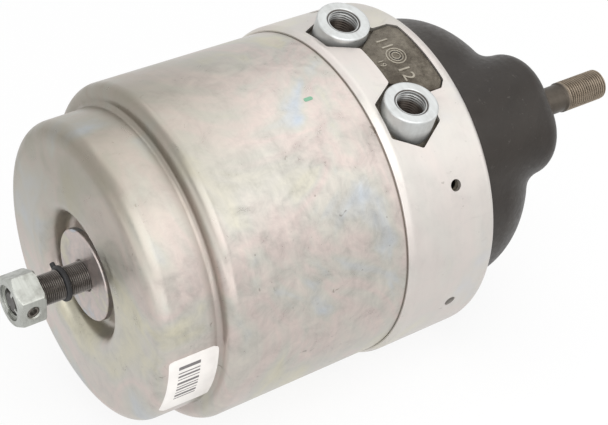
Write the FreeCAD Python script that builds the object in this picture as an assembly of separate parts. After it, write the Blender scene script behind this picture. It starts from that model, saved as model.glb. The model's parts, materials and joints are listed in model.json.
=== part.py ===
import FreeCAD, Part
import math
import os
from FreeCAD import Vector

os.makedirs("parts", exist_ok=True)

# The axis of the chamber is X.  X = 0 is the flat mounting face, +X is the side of the push rod and the
# studs, and Z is up.  All sizes are in millimetres.

# Clearances between pieces
seat_gap = 0.02
running_gap = 0.05
face_gap = 0.1
soft_gap = 0.3

# Travel
full_stroke = 57.0
spindle_wind_out = 49.0
thread_shown = 25.5

# Deep drawn spring cylinder
sheet = 3.0
cylinder_radius = 86.0
shoulder_step = 10.1
shoulder_rounding = 5.5
shoulder_fillet = 2.6
cap_length = 30.8
cap_rounding = 7.5
cap_draft = 0.4
end_face_rise = 2.4
end_face_rounding = 12.0
recess_radius = 31.5
recess_depth = 14.7
recess_rim_rounding = 7.0
recess_floor_rounding = 4.0
recess_land = 1.0

# Release bush in the middle of the recess
bush_sink = 3.7
bush_trench = 8.1
bush_disc_thickness = 3.6
bush_stem_radius = 13.0
bush_neck_radius = 17.0
bush_root_radius = 16.0
bush_stem_below_floor = 8.0
bush_chamfer = 0.8

# Release spindle with its hexagon, cross pin, stop ring, thrust washer and head
spindle_radius = 7.5
spindle_core_radius = 6.8
hex_across_flats = 24.0
hex_length = 13.5
hex_chamfer = 1.8
hex_inner_chamfer = 1.0
cross_pin_radius = 3.0
cross_pin_wall = 1.2
cross_pin_setback = 6.9
cross_pin_short = 0.5
cross_pin_angle = 187.2
ring_setback = 14.1
stop_ring_width = 2.4
stop_ring_radius = 9.0
stop_ring_edge = 0.5
lug_radius = 1.3
lug_reach = 2.4
lug_angle = 36.0
head_room = 0.6
head_length = 9.0
washer_thickness = 2.2

# Service housing stations
housing_front_x = -4.5
front_wall = 4.5

# Flange casting
stroke_room = 19.0
cup_depth = 21.0
web_thickness = 12.0
joint_setback = 7.7
spigot_length = 7.3
flange_inset = 0.1
cup_wall = 15.9
cup_rounding = 6.0
spigot_wall = 10.0
hub_wall = 13.0
hub_length = 12.5
flange_ring_section = 3.0
ring_groove_setback = 2.6
ring_groove_width = 3.8
seal_groove_setback = 2.5
seal_width = 5.0
seal_depth = 5.0
guide_groove_setback = 11.5
guide_width = 10.0
guide_depth = 2.0

# Ports: two parallel threaded inserts on the casting, with a raised pad between them
port_angle = 111.1
port_setback = 6.1
port_offset = 29.2
port_stand = 2.0
port_height = 22.88
port_insert_radius = 13.45
port_edge = 1.0
port_bore_radius = 7.25
port_chamfer_radius = 8.75
air_way_radius = 3.0
air_way_drop = 9.5
air_way_reach = 12.0
pad_sink = 0.9
pad_root = 3.0

# Clamp band
band_thickness = 2.3
band_fit = 0.2
band_overlap = 6.3
band_rounding = 5.0
band_edge = 1.0
lip_grip = 3.6
window_edge = 14.5
window_reach = 17.1
window_flat = 9.0
window_right_flat = 8.2
window_inset = 1.4
window_corner = 1.2
window_gap = 0.8
vent_radius = 3.0
vent_inset = 16.5
vent_count = 7
vent_step = 45.0
vent_depth = 6.0

# Service housing
lip_thickness = 7.2
lip_width = 10.9
lip_rounding = 2.9
housing_draft = 1.4
housing_dome_rounding = 32.0
housing_wall = 4.2
ear_reach = 18.7
ear_half_width = 33.0
ear_corner = 25.0
ear_edge = 5.0
ear_flare = 0.49
ear_root_reach = 3.0
ear_root_gap = 1.0
rod_opening_radius = 21.0
gaiter_seat_step = 5.0
gaiter_seat_depth = 5.0

# Mounting studs, M16 on the standard spacing
stud_angle = 142.1
stud_spacing = 120.65
stud_radius = 8.0
stud_core_radius = 7.05
stud_knurl_radius = 9.0
stud_length_out = 46.6
stud_depth_in = 15.0
stud_collar = 0.6
stud_waist_end = 6.0
stud_point = 1.8
stud_boss_wall = 5.5
stud_boss_cover = 4.0

# Diaphragm, pressure plate and push rod
diaphragm_thickness = 3.0
diaphragm_bead = 3.8
diaphragm_bead_width = 9.0
diaphragm_side_gap = 1.4
diaphragm_roll = 6.5
plate_side_room = 9.6
plate_thickness = 3.6
plate_rim = 6.0
plate_rim_height = 3.0
plate_rim_wall = 2.5
rod_radius = 11.0
rod_tip_x = 24.0
rod_tip_rounding = 8.0
rod_socket_wall = 6.0
rod_socket_length = 16.0
rod_foot_wall = 6.0
rod_foot_thickness = 3.5
rod_groove_depth = 0.8

# Return spring
return_wire_radius = 2.0
return_plate_inset = 6.0
return_nose_room = 10.5
return_turns = 4.5
return_dead_turns = 0.4

# Spring piston and plunger
piston_gap = 0.5
piston_stop_room = 6.0
piston_plate = 8.0
piston_skirt = 22.0
piston_hub_wall = 11.0
piston_dish = 10.0
piston_step = 8.0
piston_groove_depth = 4.6
piston_seal_width = 6.0
piston_guide_depth = 2.0
piston_guide_width = 6.0
piston_land = 2.0
plunger_radius = 17.0
plunger_wall = 4.4
plunger_root_depth = 14.0
plunger_floor = 5.0
plunger_cap_thickness = 5.0
plunger_cap_plug = 4.0
plunger_end_inset = 0.2
spindle_hole_gap = 0.6

# Power spring and its seat ring
power_wire_radius = 6.4
power_spring_length = 68.0
power_spring_inset = 13.9
spring_pilot_gap = 3.6
power_turns = 4.0
power_dead_turns = 0.6
seat_ring_thickness = 2.2
seat_ring_reach = 10.0
seat_ring_overhang = 1.8

# Gaiter
gaiter_collar_x = 3.0
gaiter_collar_length = 6.0
gaiter_bead_height = 3.2
gaiter_ring_wall = 2.4
gaiter_ring_sink = 0.4

# Stations along the axis, from the mounting face backwards
front_wall_inner_x = housing_front_x - front_wall
web_service_x = front_wall_inner_x - full_stroke - stroke_room
flange_service_x = web_service_x + cup_depth
lip_left_x = flange_service_x + diaphragm_bead
lip_right_x = lip_left_x + lip_thickness
web_spring_x = web_service_x - web_thickness
hub_spring_x = web_spring_x - hub_length
cylinder_open_x = web_spring_x - joint_setback
flange_spigot_x = cylinder_open_x - spigot_length
band_left_x = cylinder_open_x - band_overlap
band_right_x = lip_right_x + band_fit + band_thickness
port_x = web_service_x - port_setback
vent_x = flange_service_x - vent_inset
piston_face_x = web_spring_x - full_stroke - piston_stop_room
piston_back_x = piston_face_x - piston_plate
piston_dish_x = piston_face_x - piston_dish
plunger_root_x = piston_dish_x - plunger_root_depth
plunger_end_x = web_service_x - plunger_end_inset
power_left_x = piston_back_x - power_spring_length
seat_face_x = power_left_x - seat_ring_thickness
cap_end_x = seat_face_x - face_gap - sheet
shoulder_x = cap_end_x + cap_length
peak_x = cap_end_x - end_face_rise
recess_floor_x = peak_x + recess_depth
bush_face_x = peak_x + bush_sink
bush_stem_end_x = recess_floor_x + bush_stem_below_floor
hex_inner_x = bush_face_x - thread_shown
hex_outer_x = hex_inner_x - hex_length
cross_pin_x = hex_outer_x + cross_pin_setback
stop_ring_x = hex_inner_x + ring_setback
shoulder_in_tube_x = plunger_root_x + plunger_floor
washer_x = shoulder_in_tube_x + 2.0 * face_gap + spindle_wind_out
head_x = washer_x + washer_thickness + face_gap
diaphragm_back_x = web_service_x + soft_gap
diaphragm_floor_x = diaphragm_back_x + diaphragm_thickness
plate_back_x = diaphragm_floor_x + face_gap
plate_front_x = plate_back_x + plate_thickness

# Radii that follow the spring cylinder, the plunger and the rod
cylinder_bore_radius = cylinder_radius - sheet
cap_radius = cylinder_radius - shoulder_step
flange_radius = cylinder_radius - flange_inset
flange_cup_radius = flange_radius - cup_wall
spigot_radius = cylinder_bore_radius - seat_gap
hub_radius = plunger_radius + hub_wall
band_bore_radius = flange_radius + band_fit
band_radius = band_bore_radius + band_thickness
housing_radius = flange_radius - lip_width
housing_small_radius = housing_radius - housing_draft
band_lip_radius = housing_radius + lip_grip
port_face_height = band_radius + port_stand
port_seat_height = port_face_height - port_height
pad_surface_radius = band_radius - pad_sink
bush_disc_radius = recess_radius - bush_trench
piston_radius = cylinder_bore_radius - piston_gap
piston_hub_radius = plunger_radius + piston_hub_wall
plunger_bore_radius = plunger_radius - plunger_wall
head_radius = plunger_bore_radius - head_room
power_mean_radius = cap_radius - power_spring_inset
piston_pilot_radius = power_mean_radius - power_wire_radius - spring_pilot_gap
diaphragm_wall_radius = flange_cup_radius - diaphragm_side_gap
plate_radius = diaphragm_wall_radius - diaphragm_thickness - plate_side_room
gaiter_seat_radius = rod_opening_radius + gaiter_seat_step
rod_socket_radius = rod_radius + rod_socket_wall
rod_foot_radius = rod_socket_radius + rod_foot_wall


def unit(a, b):
    """Direction and length from a to b in the drawing plane."""
    dx = b[0] - a[0]
    dy = b[1] - a[1]
    size = math.hypot(dx, dy)
    return dx / size, dy / size, size


def outline(corners, place):
    """Closed wire through corners (u, v, rounding); place(u, v) gives the point in space."""
    edges = []
    joints = []
    count = len(corners)
    for i in range(count):
        u, v, rounding = corners[i]
        back = unit((u, v), corners[i - 1][:2])
        ahead = unit((u, v), corners[(i + 1) % count][:2])
        if rounding <= 0.0:
            joints.append(((u, v), None, (u, v)))
            continue
        cosine = back[0] * ahead[0] + back[1] * ahead[1]
        half = math.acos(max(-1.0, min(1.0, cosine))) / 2.0
        reach = rounding / math.tan(half)
        mx = back[0] + ahead[0]
        my = back[1] + ahead[1]
        size = math.hypot(mx, my)
        depth = rounding / math.sin(half) - rounding
        start = (u + back[0] * reach, v + back[1] * reach)
        middle = (u + mx / size * depth, v + my / size * depth)
        finish = (u + ahead[0] * reach, v + ahead[1] * reach)
        joints.append((start, middle, finish))
    for i in range(count):
        start, middle, finish = joints[i]
        if middle is not None:
            edges.append(Part.Arc(place(*start), place(*middle), place(*finish)).toShape())
        after = joints[(i + 1) % count][0]
        if math.hypot(after[0] - finish[0], after[1] - finish[1]) > 1e-6:
            edges.append(Part.makeLine(place(*finish), place(*after)))
    return Part.Wire(edges)


def turned(corners):
    """Solid of revolution about X from corners (x, radius, rounding)."""
    face = Part.Face(outline(corners, lambda x, r: Vector(x, r, 0)))
    return face.revolve(Vector(0, 0, 0), Vector(1, 0, 0), 360)


def ring(x0, x1, inner, outer, edge=0.0):
    """Plain ring between two stations, with its outer edges rounded."""
    return turned([(x0, inner, 0), (x0, outer, edge), (x1, outer, edge), (x1, inner, 0)])


def rod(x0, x1, radius):
    """Plain cylinder between two stations."""
    return Part.makeCylinder(radius, x1 - x0, Vector(x0, 0, 0), Vector(1, 0, 0))


def direction(angle):
    """Unit vector square to the axis; 0 points away along +Y and 90 points up."""
    return Vector(0, math.cos(math.radians(angle)), math.sin(math.radians(angle)))


def coil(x0, x1, r0, r1, wire, turns, dead):
    """Round wire spring: closed dead turns at both ends, radius changing evenly from r0 to r1."""
    points = []
    steps = int(round(turns * 10))
    lay = 2.0 * wire
    dead_climb = dead * lay
    active_climb = (x1 - x0) - lay - 2.0 * dead_climb
    for i in range(steps + 1):
        done = i / steps
        turn = done * turns
        ends = min(turn, dead) + max(0.0, turn - (turns - dead))
        active = min(max(turn - dead, 0.0), turns - 2.0 * dead)
        climb = ends * lay + active * active_climb / (turns - 2.0 * dead)
        angle = 2.0 * math.pi * turn
        radius = r0 + (r1 - r0) * done
        points.append(Vector(x0 + wire + climb, radius * math.cos(angle), radius * math.sin(angle)))
    curve = Part.BSplineCurve()
    curve.interpolate(points)
    spine = Part.Wire(curve.toShape())
    section = Part.Wire(Part.Circle(points[0], curve.tangent(curve.FirstParameter)[0], wire).toShape())
    return spine.makePipeShell([section], True, True)


def save(name, shape):
    """Write one named piece."""
    if len(shape.Solids) == 1:
        shape = shape.removeSplitter()
    shape.exportStep(os.path.join("parts", name + ".step"))
    print(name, "solids", len(shape.Solids), "valid", shape.isValid(), "volume", round(shape.Volume))


port_up = direction(port_angle)
port_side = direction(port_angle - 90.0)


def over_ports(x, offset):
    """Point of the plane through the axis that both ports stand square to."""
    return Vector(x, 0, 0) + port_side * offset


def vent_holes(foot_radius, top_radius):
    """Round cutters square to the axis, evenly stepped from the ports' direction."""
    holes = []
    for i in range(1, vent_count + 1):
        out = direction(port_angle + vent_step * i)
        foot = Vector(vent_x, 0, 0) + out * foot_radius
        holes.append(Part.makeCylinder(vent_radius, top_radius - foot_radius, foot, out))
    return holes


# Spring cylinder: one drawn sheet, so the inside follows the outside at the sheet thickness
end_face_radius = recess_radius + 2.0 * recess_rim_rounding - recess_land
bush_hole_radius = bush_stem_radius + seat_gap
outer_skin = [
    (cylinder_open_x, cylinder_radius, 0),
    (shoulder_x, cylinder_radius, shoulder_rounding),
    (shoulder_x, cap_radius, shoulder_fillet),
    (cap_end_x, cap_radius - cap_draft, cap_rounding),
    (peak_x, end_face_radius, end_face_rounding),
    (peak_x, recess_radius, recess_rim_rounding),
    (recess_floor_x, recess_radius, recess_floor_rounding),
    (recess_floor_x, bush_hole_radius, 0),
]
inner_skin = [
    (recess_floor_x + sheet, bush_hole_radius, 0),
    (recess_floor_x + sheet, recess_radius + sheet, recess_floor_rounding + sheet),
    (peak_x + sheet, recess_radius + sheet, recess_rim_rounding - sheet),
    (peak_x + sheet, end_face_radius, end_face_rounding + sheet),
    (cap_end_x + sheet, cap_radius - cap_draft - sheet, cap_rounding - sheet),
    (shoulder_x + sheet, cap_radius - sheet, shoulder_fillet + sheet),
    (shoulder_x + sheet, cylinder_bore_radius, shoulder_rounding - sheet),
    (cylinder_open_x, cylinder_bore_radius, 0),
]
save("spring_cylinder", turned(outer_skin + inner_skin))

# Release bush: a flat disc with a stem through the recess floor and the thread through its middle
bush_back_x = bush_face_x + bush_disc_thickness
bush_bore = spindle_radius + running_gap
save("release_bush", turned([
    (bush_face_x, bush_bore + bush_chamfer, 0),
    (bush_face_x, bush_disc_radius, 0.8),
    (bush_back_x, bush_disc_radius, 0.5),
    (bush_back_x, bush_neck_radius, 2.0),
    (recess_floor_x, bush_root_radius, 0),
    (recess_floor_x, bush_stem_radius, 0),
    (bush_stem_end_x, bush_stem_radius, 1.5),
    (bush_stem_end_x, bush_bore, 0),
    (bush_face_x + bush_chamfer, bush_bore, 0),
]))

# Spring seat ring between the power spring and the end of the cylinder
seat_inner = power_mean_radius - seat_ring_reach
seat_outer = cap_radius - sheet - cap_rounding + seat_ring_overhang
save("spring_seat_ring", ring(seat_face_x, power_left_x, seat_inner, seat_outer, 0.8))

# Power spring, held compressed between the seat ring and the piston
save("power_spring", coil(power_left_x + face_gap, piston_back_x - face_gap, power_mean_radius,
                          power_mean_radius, power_wire_radius, power_turns, power_dead_turns))

# Flange casting: rim, web and hub turned in one, then the pad, the port seats and the air ways
plunger_bore = plunger_radius + running_gap
seal_x = hub_spring_x + seal_groove_setback
seal_outer = plunger_radius + seal_depth
guide_x = hub_spring_x + guide_groove_setback
guide_outer = plunger_radius + guide_depth
ring_groove_x = flange_spigot_x + ring_groove_setback
ring_groove_floor = spigot_radius - flange_ring_section - running_gap
flange = turned([
    (flange_spigot_x, spigot_radius - spigot_wall, 1.0),
    (flange_spigot_x, spigot_radius, 0.8),
    (cylinder_open_x, spigot_radius, 0),
    (cylinder_open_x, flange_radius, 0),
    (flange_service_x, flange_radius, 0.6),
    (flange_service_x, flange_cup_radius, 2.0),
    (web_service_x, flange_cup_radius, cup_rounding),
    (web_service_x, plunger_bore, 0),
    (hub_spring_x, plunger_bore, 0),
    (hub_spring_x, hub_radius, 1.5),
    (web_spring_x, hub_radius + 2.0, 4.0),
    (web_spring_x, flange_cup_radius, 5.0),
])
window_left_x = port_x - window_edge
window_right_x = flange_service_x - window_inset
neck_half = port_offset - window_reach
shelf_half = port_offset - window_flat
pad_corners = [
    (port_x + window_gap, neck_half - window_gap, window_gap),
    (window_right_x - window_gap, shelf_half - window_gap, 1.0),
    (window_right_x - window_gap, window_gap - shelf_half, 1.0),
    (port_x + window_gap, window_gap - neck_half, window_gap),
]
pad_block = Part.Face(outline(pad_corners, over_ports)).extrude(port_up * port_face_height)
pad_shell = ring(port_x - 1.0, flange_service_x - face_gap, flange_radius - pad_root, pad_surface_radius)
flange = flange.fuse(pad_block.common(pad_shell))
seat_bore = port_insert_radius + seat_gap
way_height = port_seat_height - air_way_drop
for side in (1, -1):
    centre = over_ports(port_x, port_offset * side)
    seat_foot = centre + port_up * port_seat_height
    way_foot = centre + port_up * way_height
    flange = flange.cut(Part.makeCylinder(seat_bore, port_height + port_edge, seat_foot, port_up))
    flange = flange.cut(Part.makeCylinder(air_way_radius, air_way_drop + port_edge, way_foot, port_up))
    flange = flange.cut(Part.makeCylinder(air_way_radius, air_way_reach, way_foot, Vector(side, 0, 0)))
flange = flange.cut(ring(seal_x, seal_x + seal_width, plunger_radius - 1.0, seal_outer))
flange = flange.cut(ring(guide_x, guide_x + guide_width, plunger_radius - 1.0, guide_outer))
flange = flange.cut(ring(ring_groove_x, ring_groove_x + ring_groove_width, ring_groove_floor, flange_radius))
for hole in vent_holes(flange_radius - vent_depth, band_radius):
    flange = flange.cut(hole)
save("flange_casting", flange)

# Threaded port inserts with a chamfered mouth, drawn at the thread's core diameter
mouth = port_chamfer_radius - port_bore_radius
for name, side in (("service_port_insert", 1), ("spring_port_insert", -1)):
    centre = over_ports(port_x, port_offset * side)
    foot = centre + port_up * (port_seat_height + seat_gap)
    height = port_height - seat_gap
    body = Part.makeCylinder(port_insert_radius, height, foot, port_up)
    top = [edge for edge in body.Edges if (edge.CenterOfMass - foot).dot(port_up) > height - seat_gap]
    body = body.makeFillet(port_edge, [edge for edge in top if len(edge.Vertexes) == 1])
    body = body.cut(Part.makeCylinder(port_bore_radius, height, foot, port_up))
    mouth_foot = foot + port_up * (height - mouth)
    body = body.cut(Part.makeCone(port_bore_radius, port_chamfer_radius, mouth, mouth_foot, port_up))
    save(name, body)

# Rubber rings in the flange casting
ring_section_radius = flange_ring_section / 2.0 - seat_gap
ring_middle = Vector(ring_groove_x + ring_groove_width / 2.0, 0, 0)
save("flange_seal_ring", Part.makeTorus(spigot_radius - flange_ring_section / 2.0, ring_section_radius,
                                        ring_middle, Vector(1, 0, 0)))
seal_left_x = seal_x + face_gap
seal_right_x = seal_x + seal_width - face_gap
save("plunger_seal", turned([
    (seal_left_x, seal_outer - seat_gap, 0.6),
    (seal_left_x, plunger_bore, 0),
    (seal_left_x + 1.3, plunger_bore, 0),
    (seal_x + seal_width / 2.0, plunger_bore + 1.2, 0.4),
    (seal_right_x - 1.3, plunger_bore, 0),
    (seal_right_x, plunger_bore, 0),
    (seal_right_x, seal_outer - seat_gap, 0.6),
]))
save("plunger_guide_ring", ring(guide_x + face_gap, guide_x + guide_width - face_gap, plunger_bore,
                                guide_outer - seat_gap))

# Clamp band: a sleeve over the joint whose right edge is rolled inwards over the housing lip
band = turned([
    (band_left_x, band_bore_radius, 0),
    (band_left_x, band_radius - band_edge, 0.6),
    (band_left_x + 1.6 * band_edge, band_radius, 0.8),
    (band_right_x, band_radius, band_rounding),
    (band_right_x, band_lip_radius, band_edge),
    (band_right_x - band_thickness, band_lip_radius, band_edge),
    (band_right_x - band_thickness, band_bore_radius, band_rounding - band_thickness),
])
half_window = [
    (port_x, neck_half),
    (window_left_x, shelf_half),
    (window_left_x, port_offset + window_flat),
    (port_x, port_offset + window_reach),
    (port_x + window_edge, port_offset + window_right_flat),
    (window_right_x, shelf_half),
]
window = [(x, offset, window_corner) for x, offset in half_window]
window += [(x, -offset, window_corner) for x, offset in reversed(half_window)]
band = band.cut(Part.Face(outline(window, over_ports)).extrude(port_up * port_face_height))
for hole in vent_holes(flange_radius - vent_depth, band_radius + vent_depth):
    band = band.cut(hole)
save("clamp_band", band)

# Service housing: a domed cup with two ears for the studs
lip_face_x = lip_right_x - face_gap
housing_dome_x = housing_front_x - housing_dome_rounding
housing = turned([
    (lip_left_x, 0, 0),
    (lip_left_x, flange_radius, 0.8),
    (lip_face_x, flange_radius, lip_rounding),
    (lip_face_x, housing_radius, 1.0),
    (housing_dome_x, housing_small_radius, 0),
    (housing_front_x, housing_small_radius, housing_dome_rounding),
    (housing_front_x, 0, 0),
])
stud_out = direction(stud_angle)
stud_across = direction(stud_angle + 90.0)
stud_spots = [stud_out * (stud_spacing / 2.0), stud_out * (-stud_spacing / 2.0)]


def ear_section(x, length, width, corner):
    """Rounded rectangle across the axis, long side along the line of the studs."""
    signs = ((1, 1), (-1, 1), (-1, -1), (1, -1))
    corners = [(length * a, width * b, corner) for a, b in signs]
    return outline(corners, lambda a, b: Vector(x, 0, 0) + stud_out * a + stud_across * b)


ear_half_length = stud_spacing / 2.0 + ear_reach
ear_root_x = band_right_x + ear_root_gap
ear_rise = -ear_root_x - ear_edge
ear_root_half_width = ear_half_width + ear_flare * ear_rise
ear_root_corner = ear_corner + ear_rise / 3.0
ear = Part.makeLoft([
    ear_section(ear_root_x, ear_half_length + ear_root_reach, ear_root_half_width, ear_root_corner),
    ear_section(0.0, ear_half_length, ear_half_width, ear_corner),
], True, True)
top_edges = [edge for edge in ear.Edges if edge.BoundBox.XMin > -0.001]
ear = ear.makeFillet(ear_edge, top_edges)
housing = housing.fuse(ear)
cavity_radius = housing_small_radius - housing_wall
housing = housing.cut(turned([
    (lip_left_x - 1.0, 0, 0),
    (lip_left_x - 1.0, flange_cup_radius + 1.5, 0),
    (housing_dome_x, cavity_radius, 0),
    (front_wall_inner_x, cavity_radius, housing_dome_rounding - front_wall),
    (front_wall_inner_x, 0, 0),
]))
boss_back_x = -stud_depth_in - stud_boss_cover
boss_radius = stud_radius + stud_boss_wall
hole_back_x = -stud_depth_in - seat_gap
for spot in stud_spots:
    boss = rod(boss_back_x, -ear_edge, boss_radius)
    boss.translate(spot)
    housing = housing.fuse(boss)
for spot in stud_spots:
    hole = rod(hole_back_x, 1.0, stud_knurl_radius + seat_gap)
    hole.translate(spot)
    housing = housing.cut(hole)
housing = housing.cut(rod(front_wall_inner_x - 1.0, 1.0, rod_opening_radius))
housing = housing.cut(rod(-gaiter_seat_depth, 1.0, gaiter_seat_radius))
save("service_housing", housing)

# Mounting studs: knurled shank pressed into the ear, waist at the face, thread diameter outside
for name, spot in (("upper_mounting_stud", stud_spots[0]), ("lower_mounting_stud", stud_spots[1])):
    stud = turned([
        (-stud_depth_in, 0, 0),
        (-stud_depth_in, stud_knurl_radius, 1.0),
        (0.0, stud_knurl_radius, 0),
        (0.0, stud_radius, 0),
        (stud_collar, stud_radius, 0),
        (stud_collar + 1.0, stud_core_radius, 0),
        (stud_waist_end, stud_core_radius, 0),
        (stud_waist_end + 1.0, stud_radius, 0),
        (stud_length_out - stud_point, stud_radius, 0),
        (stud_length_out, stud_radius - stud_point, 0.8),
        (stud_length_out, 0, 0),
    ])
    stud.translate(spot)
    save(name, stud)

# Diaphragm at rest: bead held under the lip, wall rolled back, floor against the web
wall_in = diaphragm_wall_radius - diaphragm_thickness
bead_outer = flange_radius - soft_gap
bead_inner = bead_outer - diaphragm_bead_width
save("diaphragm", turned([
    (flange_service_x, bead_outer, 0.8),
    (flange_service_x, diaphragm_wall_radius, 2.0),
    (diaphragm_back_x, diaphragm_wall_radius, diaphragm_roll),
    (diaphragm_back_x, 0, 0),
    (diaphragm_floor_x, 0, 0),
    (diaphragm_floor_x, wall_in, diaphragm_roll - diaphragm_thickness),
    (flange_service_x + diaphragm_thickness, wall_in, 2.0 + diaphragm_thickness),
    (flange_service_x + diaphragm_thickness, bead_inner - 1.0, 1.0),
    (lip_left_x, bead_inner, 0.8),
    (lip_left_x, bead_outer, 0.8),
]))

# Pressure plate: a pressed dish with its rim turned towards the rod
rim_front_x = plate_front_x + plate_rim_height
save("pressure_plate", turned([
    (plate_back_x, 0, 0),
    (plate_back_x, plate_radius, plate_rim),
    (rim_front_x, plate_radius, 0.8),
    (rim_front_x, plate_radius - plate_rim_wall, 0.8),
    (plate_front_x, plate_radius - plate_rim_wall - 1.0, 2.0),
    (plate_front_x, 0, 0),
]))

# Push rod with its foot on the plate and a rounded nose
foot_x = plate_front_x
collar_end = gaiter_collar_x + gaiter_collar_length
groove_left_x = gaiter_collar_x + 1.0
groove_right_x = collar_end - 1.0
rod_groove_radius = rod_radius - rod_groove_depth
save("push_rod", turned([
    (foot_x, 0, 0),
    (foot_x, rod_foot_radius, 1.0),
    (foot_x + rod_foot_thickness, rod_foot_radius, 1.0),
    (foot_x + rod_foot_thickness + 2.5, rod_socket_radius, 2.0),
    (foot_x + rod_socket_length, rod_radius, 4.0),
    (groove_left_x, rod_radius, 0),
    (groove_left_x, rod_groove_radius, 0),
    (groove_right_x, rod_groove_radius, 0),
    (groove_right_x, rod_radius, 0),
    (rod_tip_x, rod_radius, rod_tip_rounding),
    (rod_tip_x, 0, 0),
]))

# Return spring between the plate and the front wall of the housing, narrow end at the front
save("return_spring", coil(plate_front_x + face_gap, front_wall_inner_x - face_gap,
                           plate_radius - return_plate_inset, rod_opening_radius + return_nose_room,
                           return_wire_radius, return_turns, return_dead_turns))


def fold(share):
    """Radius between the rod and the opening's wall: 0 at the rod, 1 at the wall."""
    return rod_radius + (rod_opening_radius - rod_radius) * share


# Gaiter: thick bead in the housing, one deep fold, collar on the rod
bead_x = -gaiter_seat_depth
bead_top_x = bead_x + gaiter_bead_height
gaiter_seat = gaiter_seat_radius - seat_gap
on_rod = rod_radius + seat_gap
in_groove = rod_groove_radius + seat_gap
save("push_rod_gaiter", turned([
    (bead_x, gaiter_seat, 0.6),
    (bead_x, rod_opening_radius + 1.5, 0.4),
    (bead_top_x, fold(0.96), 0.5),
    (collar_end - 2.5, fold(0.74), 2.0),
    (collar_end - 2.5, fold(0.56), 1.0),
    (bead_x + 1.0, fold(0.45), 1.2),
    (bead_x + 1.0, fold(0.26), 1.2),
    (gaiter_collar_x, fold(0.23), 0.4),
    (gaiter_collar_x, on_rod, 0),
    (groove_left_x, on_rod, 0),
    (groove_left_x, in_groove, 0),
    (groove_right_x, in_groove, 0),
    (groove_right_x, on_rod, 0),
    (collar_end, on_rod, 0),
    (collar_end, fold(0.26), 0.8),
    (bead_x + 4.2, fold(0.33), 0.5),
    (collar_end - 0.6, fold(0.46), 2.0),
    (collar_end - 0.6, fold(0.86), 2.5),
    (bead_top_x, rod_opening_radius + 2.4, 0.5),
    (bead_top_x, gaiter_seat, 0.6),
]))
save("gaiter_retaining_ring", ring(bead_top_x + seat_gap, -gaiter_ring_sink,
                                   gaiter_seat_radius - gaiter_ring_wall, gaiter_seat, 0.3))

# Spring piston with grooves for its seal and guide ring
skirt_left_x = piston_face_x - piston_skirt
guide_left_x = skirt_left_x + piston_land
guide_right_x = guide_left_x + piston_guide_width
seal_front_x = piston_face_x - piston_land
seal_back_x = seal_front_x - piston_seal_width
guide_floor = piston_radius - piston_guide_depth
seal_floor = piston_radius - piston_groove_depth
hub_bore = plunger_radius + seat_gap
save("spring_piston", turned([
    (skirt_left_x, piston_radius - 6.0, 1.0),
    (skirt_left_x, piston_radius, 0.8),
    (guide_left_x, piston_radius, 0),
    (guide_left_x, guide_floor, 0),
    (guide_right_x, guide_floor, 0),
    (guide_right_x, piston_radius, 0),
    (seal_back_x, piston_radius, 0),
    (seal_back_x, seal_floor, 0),
    (seal_front_x, seal_floor, 0),
    (seal_front_x, piston_radius, 0),
    (piston_face_x, piston_radius, 0.8),
    (piston_face_x, piston_pilot_radius - 1.25 * piston_step, 3.0),
    (piston_dish_x, piston_pilot_radius - 2.0 * piston_step, 3.0),
    (piston_dish_x, hub_bore, 0),
    (plunger_root_x - 1.5, hub_bore, 0),
    (plunger_root_x - 1.5, piston_hub_radius - 2.0, 2.0),
    (piston_dish_x - piston_plate, piston_hub_radius, 3.0),
    (piston_dish_x - piston_plate, piston_pilot_radius - piston_step, 5.0),
    (piston_back_x, piston_pilot_radius, 4.0),
    (piston_back_x, piston_radius - 7.5, 3.0),
]))
save("piston_guide_ring", ring(guide_left_x + face_gap, guide_right_x - face_gap, guide_floor + seat_gap,
                               cylinder_bore_radius - running_gap))
lip_back_x = seal_back_x + face_gap
lip_front_x = seal_front_x - face_gap
lip_radius = cylinder_bore_radius - running_gap
save("piston_lip_seal", turned([
    (lip_back_x, seal_floor + seat_gap, 0),
    (lip_back_x, lip_radius - 1.35, 0.5),
    (lip_back_x + 3.2, lip_radius - 1.15, 0.5),
    (lip_front_x, lip_radius, 0),
    (lip_front_x, lip_radius - 1.15, 0),
    (lip_back_x + 4.0, lip_radius - 2.75, 0.5),
    (lip_front_x, seal_floor + 1.5, 0),
    (lip_front_x, seal_floor + seat_gap, 0),
]))

# Plunger tube: closed towards the piston except for the spindle hole, open ahead for its cap
cap_back_x = plunger_end_x - plunger_cap_thickness
cap_seat_x = cap_back_x + 1.5
tube_hole_radius = spindle_radius + spindle_hole_gap
save("plunger_tube", turned([
    (plunger_root_x, tube_hole_radius, 0),
    (plunger_root_x, plunger_radius, 0.5),
    (cap_seat_x, plunger_radius, 0.5),
    (cap_seat_x, plunger_bore_radius, 0),
    (shoulder_in_tube_x, plunger_bore_radius, 0.8),
    (shoulder_in_tube_x, tube_hole_radius, 0),
]))
plug_radius = plunger_bore_radius - seat_gap
save("plunger_cap", turned([
    (cap_back_x - plunger_cap_plug, 0, 0),
    (cap_back_x - plunger_cap_plug, plug_radius, 0.6),
    (cap_seat_x, plug_radius, 0),
    (cap_seat_x, plunger_radius, 0),
    (plunger_end_x, plunger_radius, 1.5),
    (plunger_end_x, 0, 0),
]))

# Thrust washer: carried by the spindle, it bears on the shoulder in the plunger tube when wound out
save("thrust_washer", ring(washer_x, washer_x + washer_thickness, spindle_core_radius + running_gap,
                           head_radius, 0.3))

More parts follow.
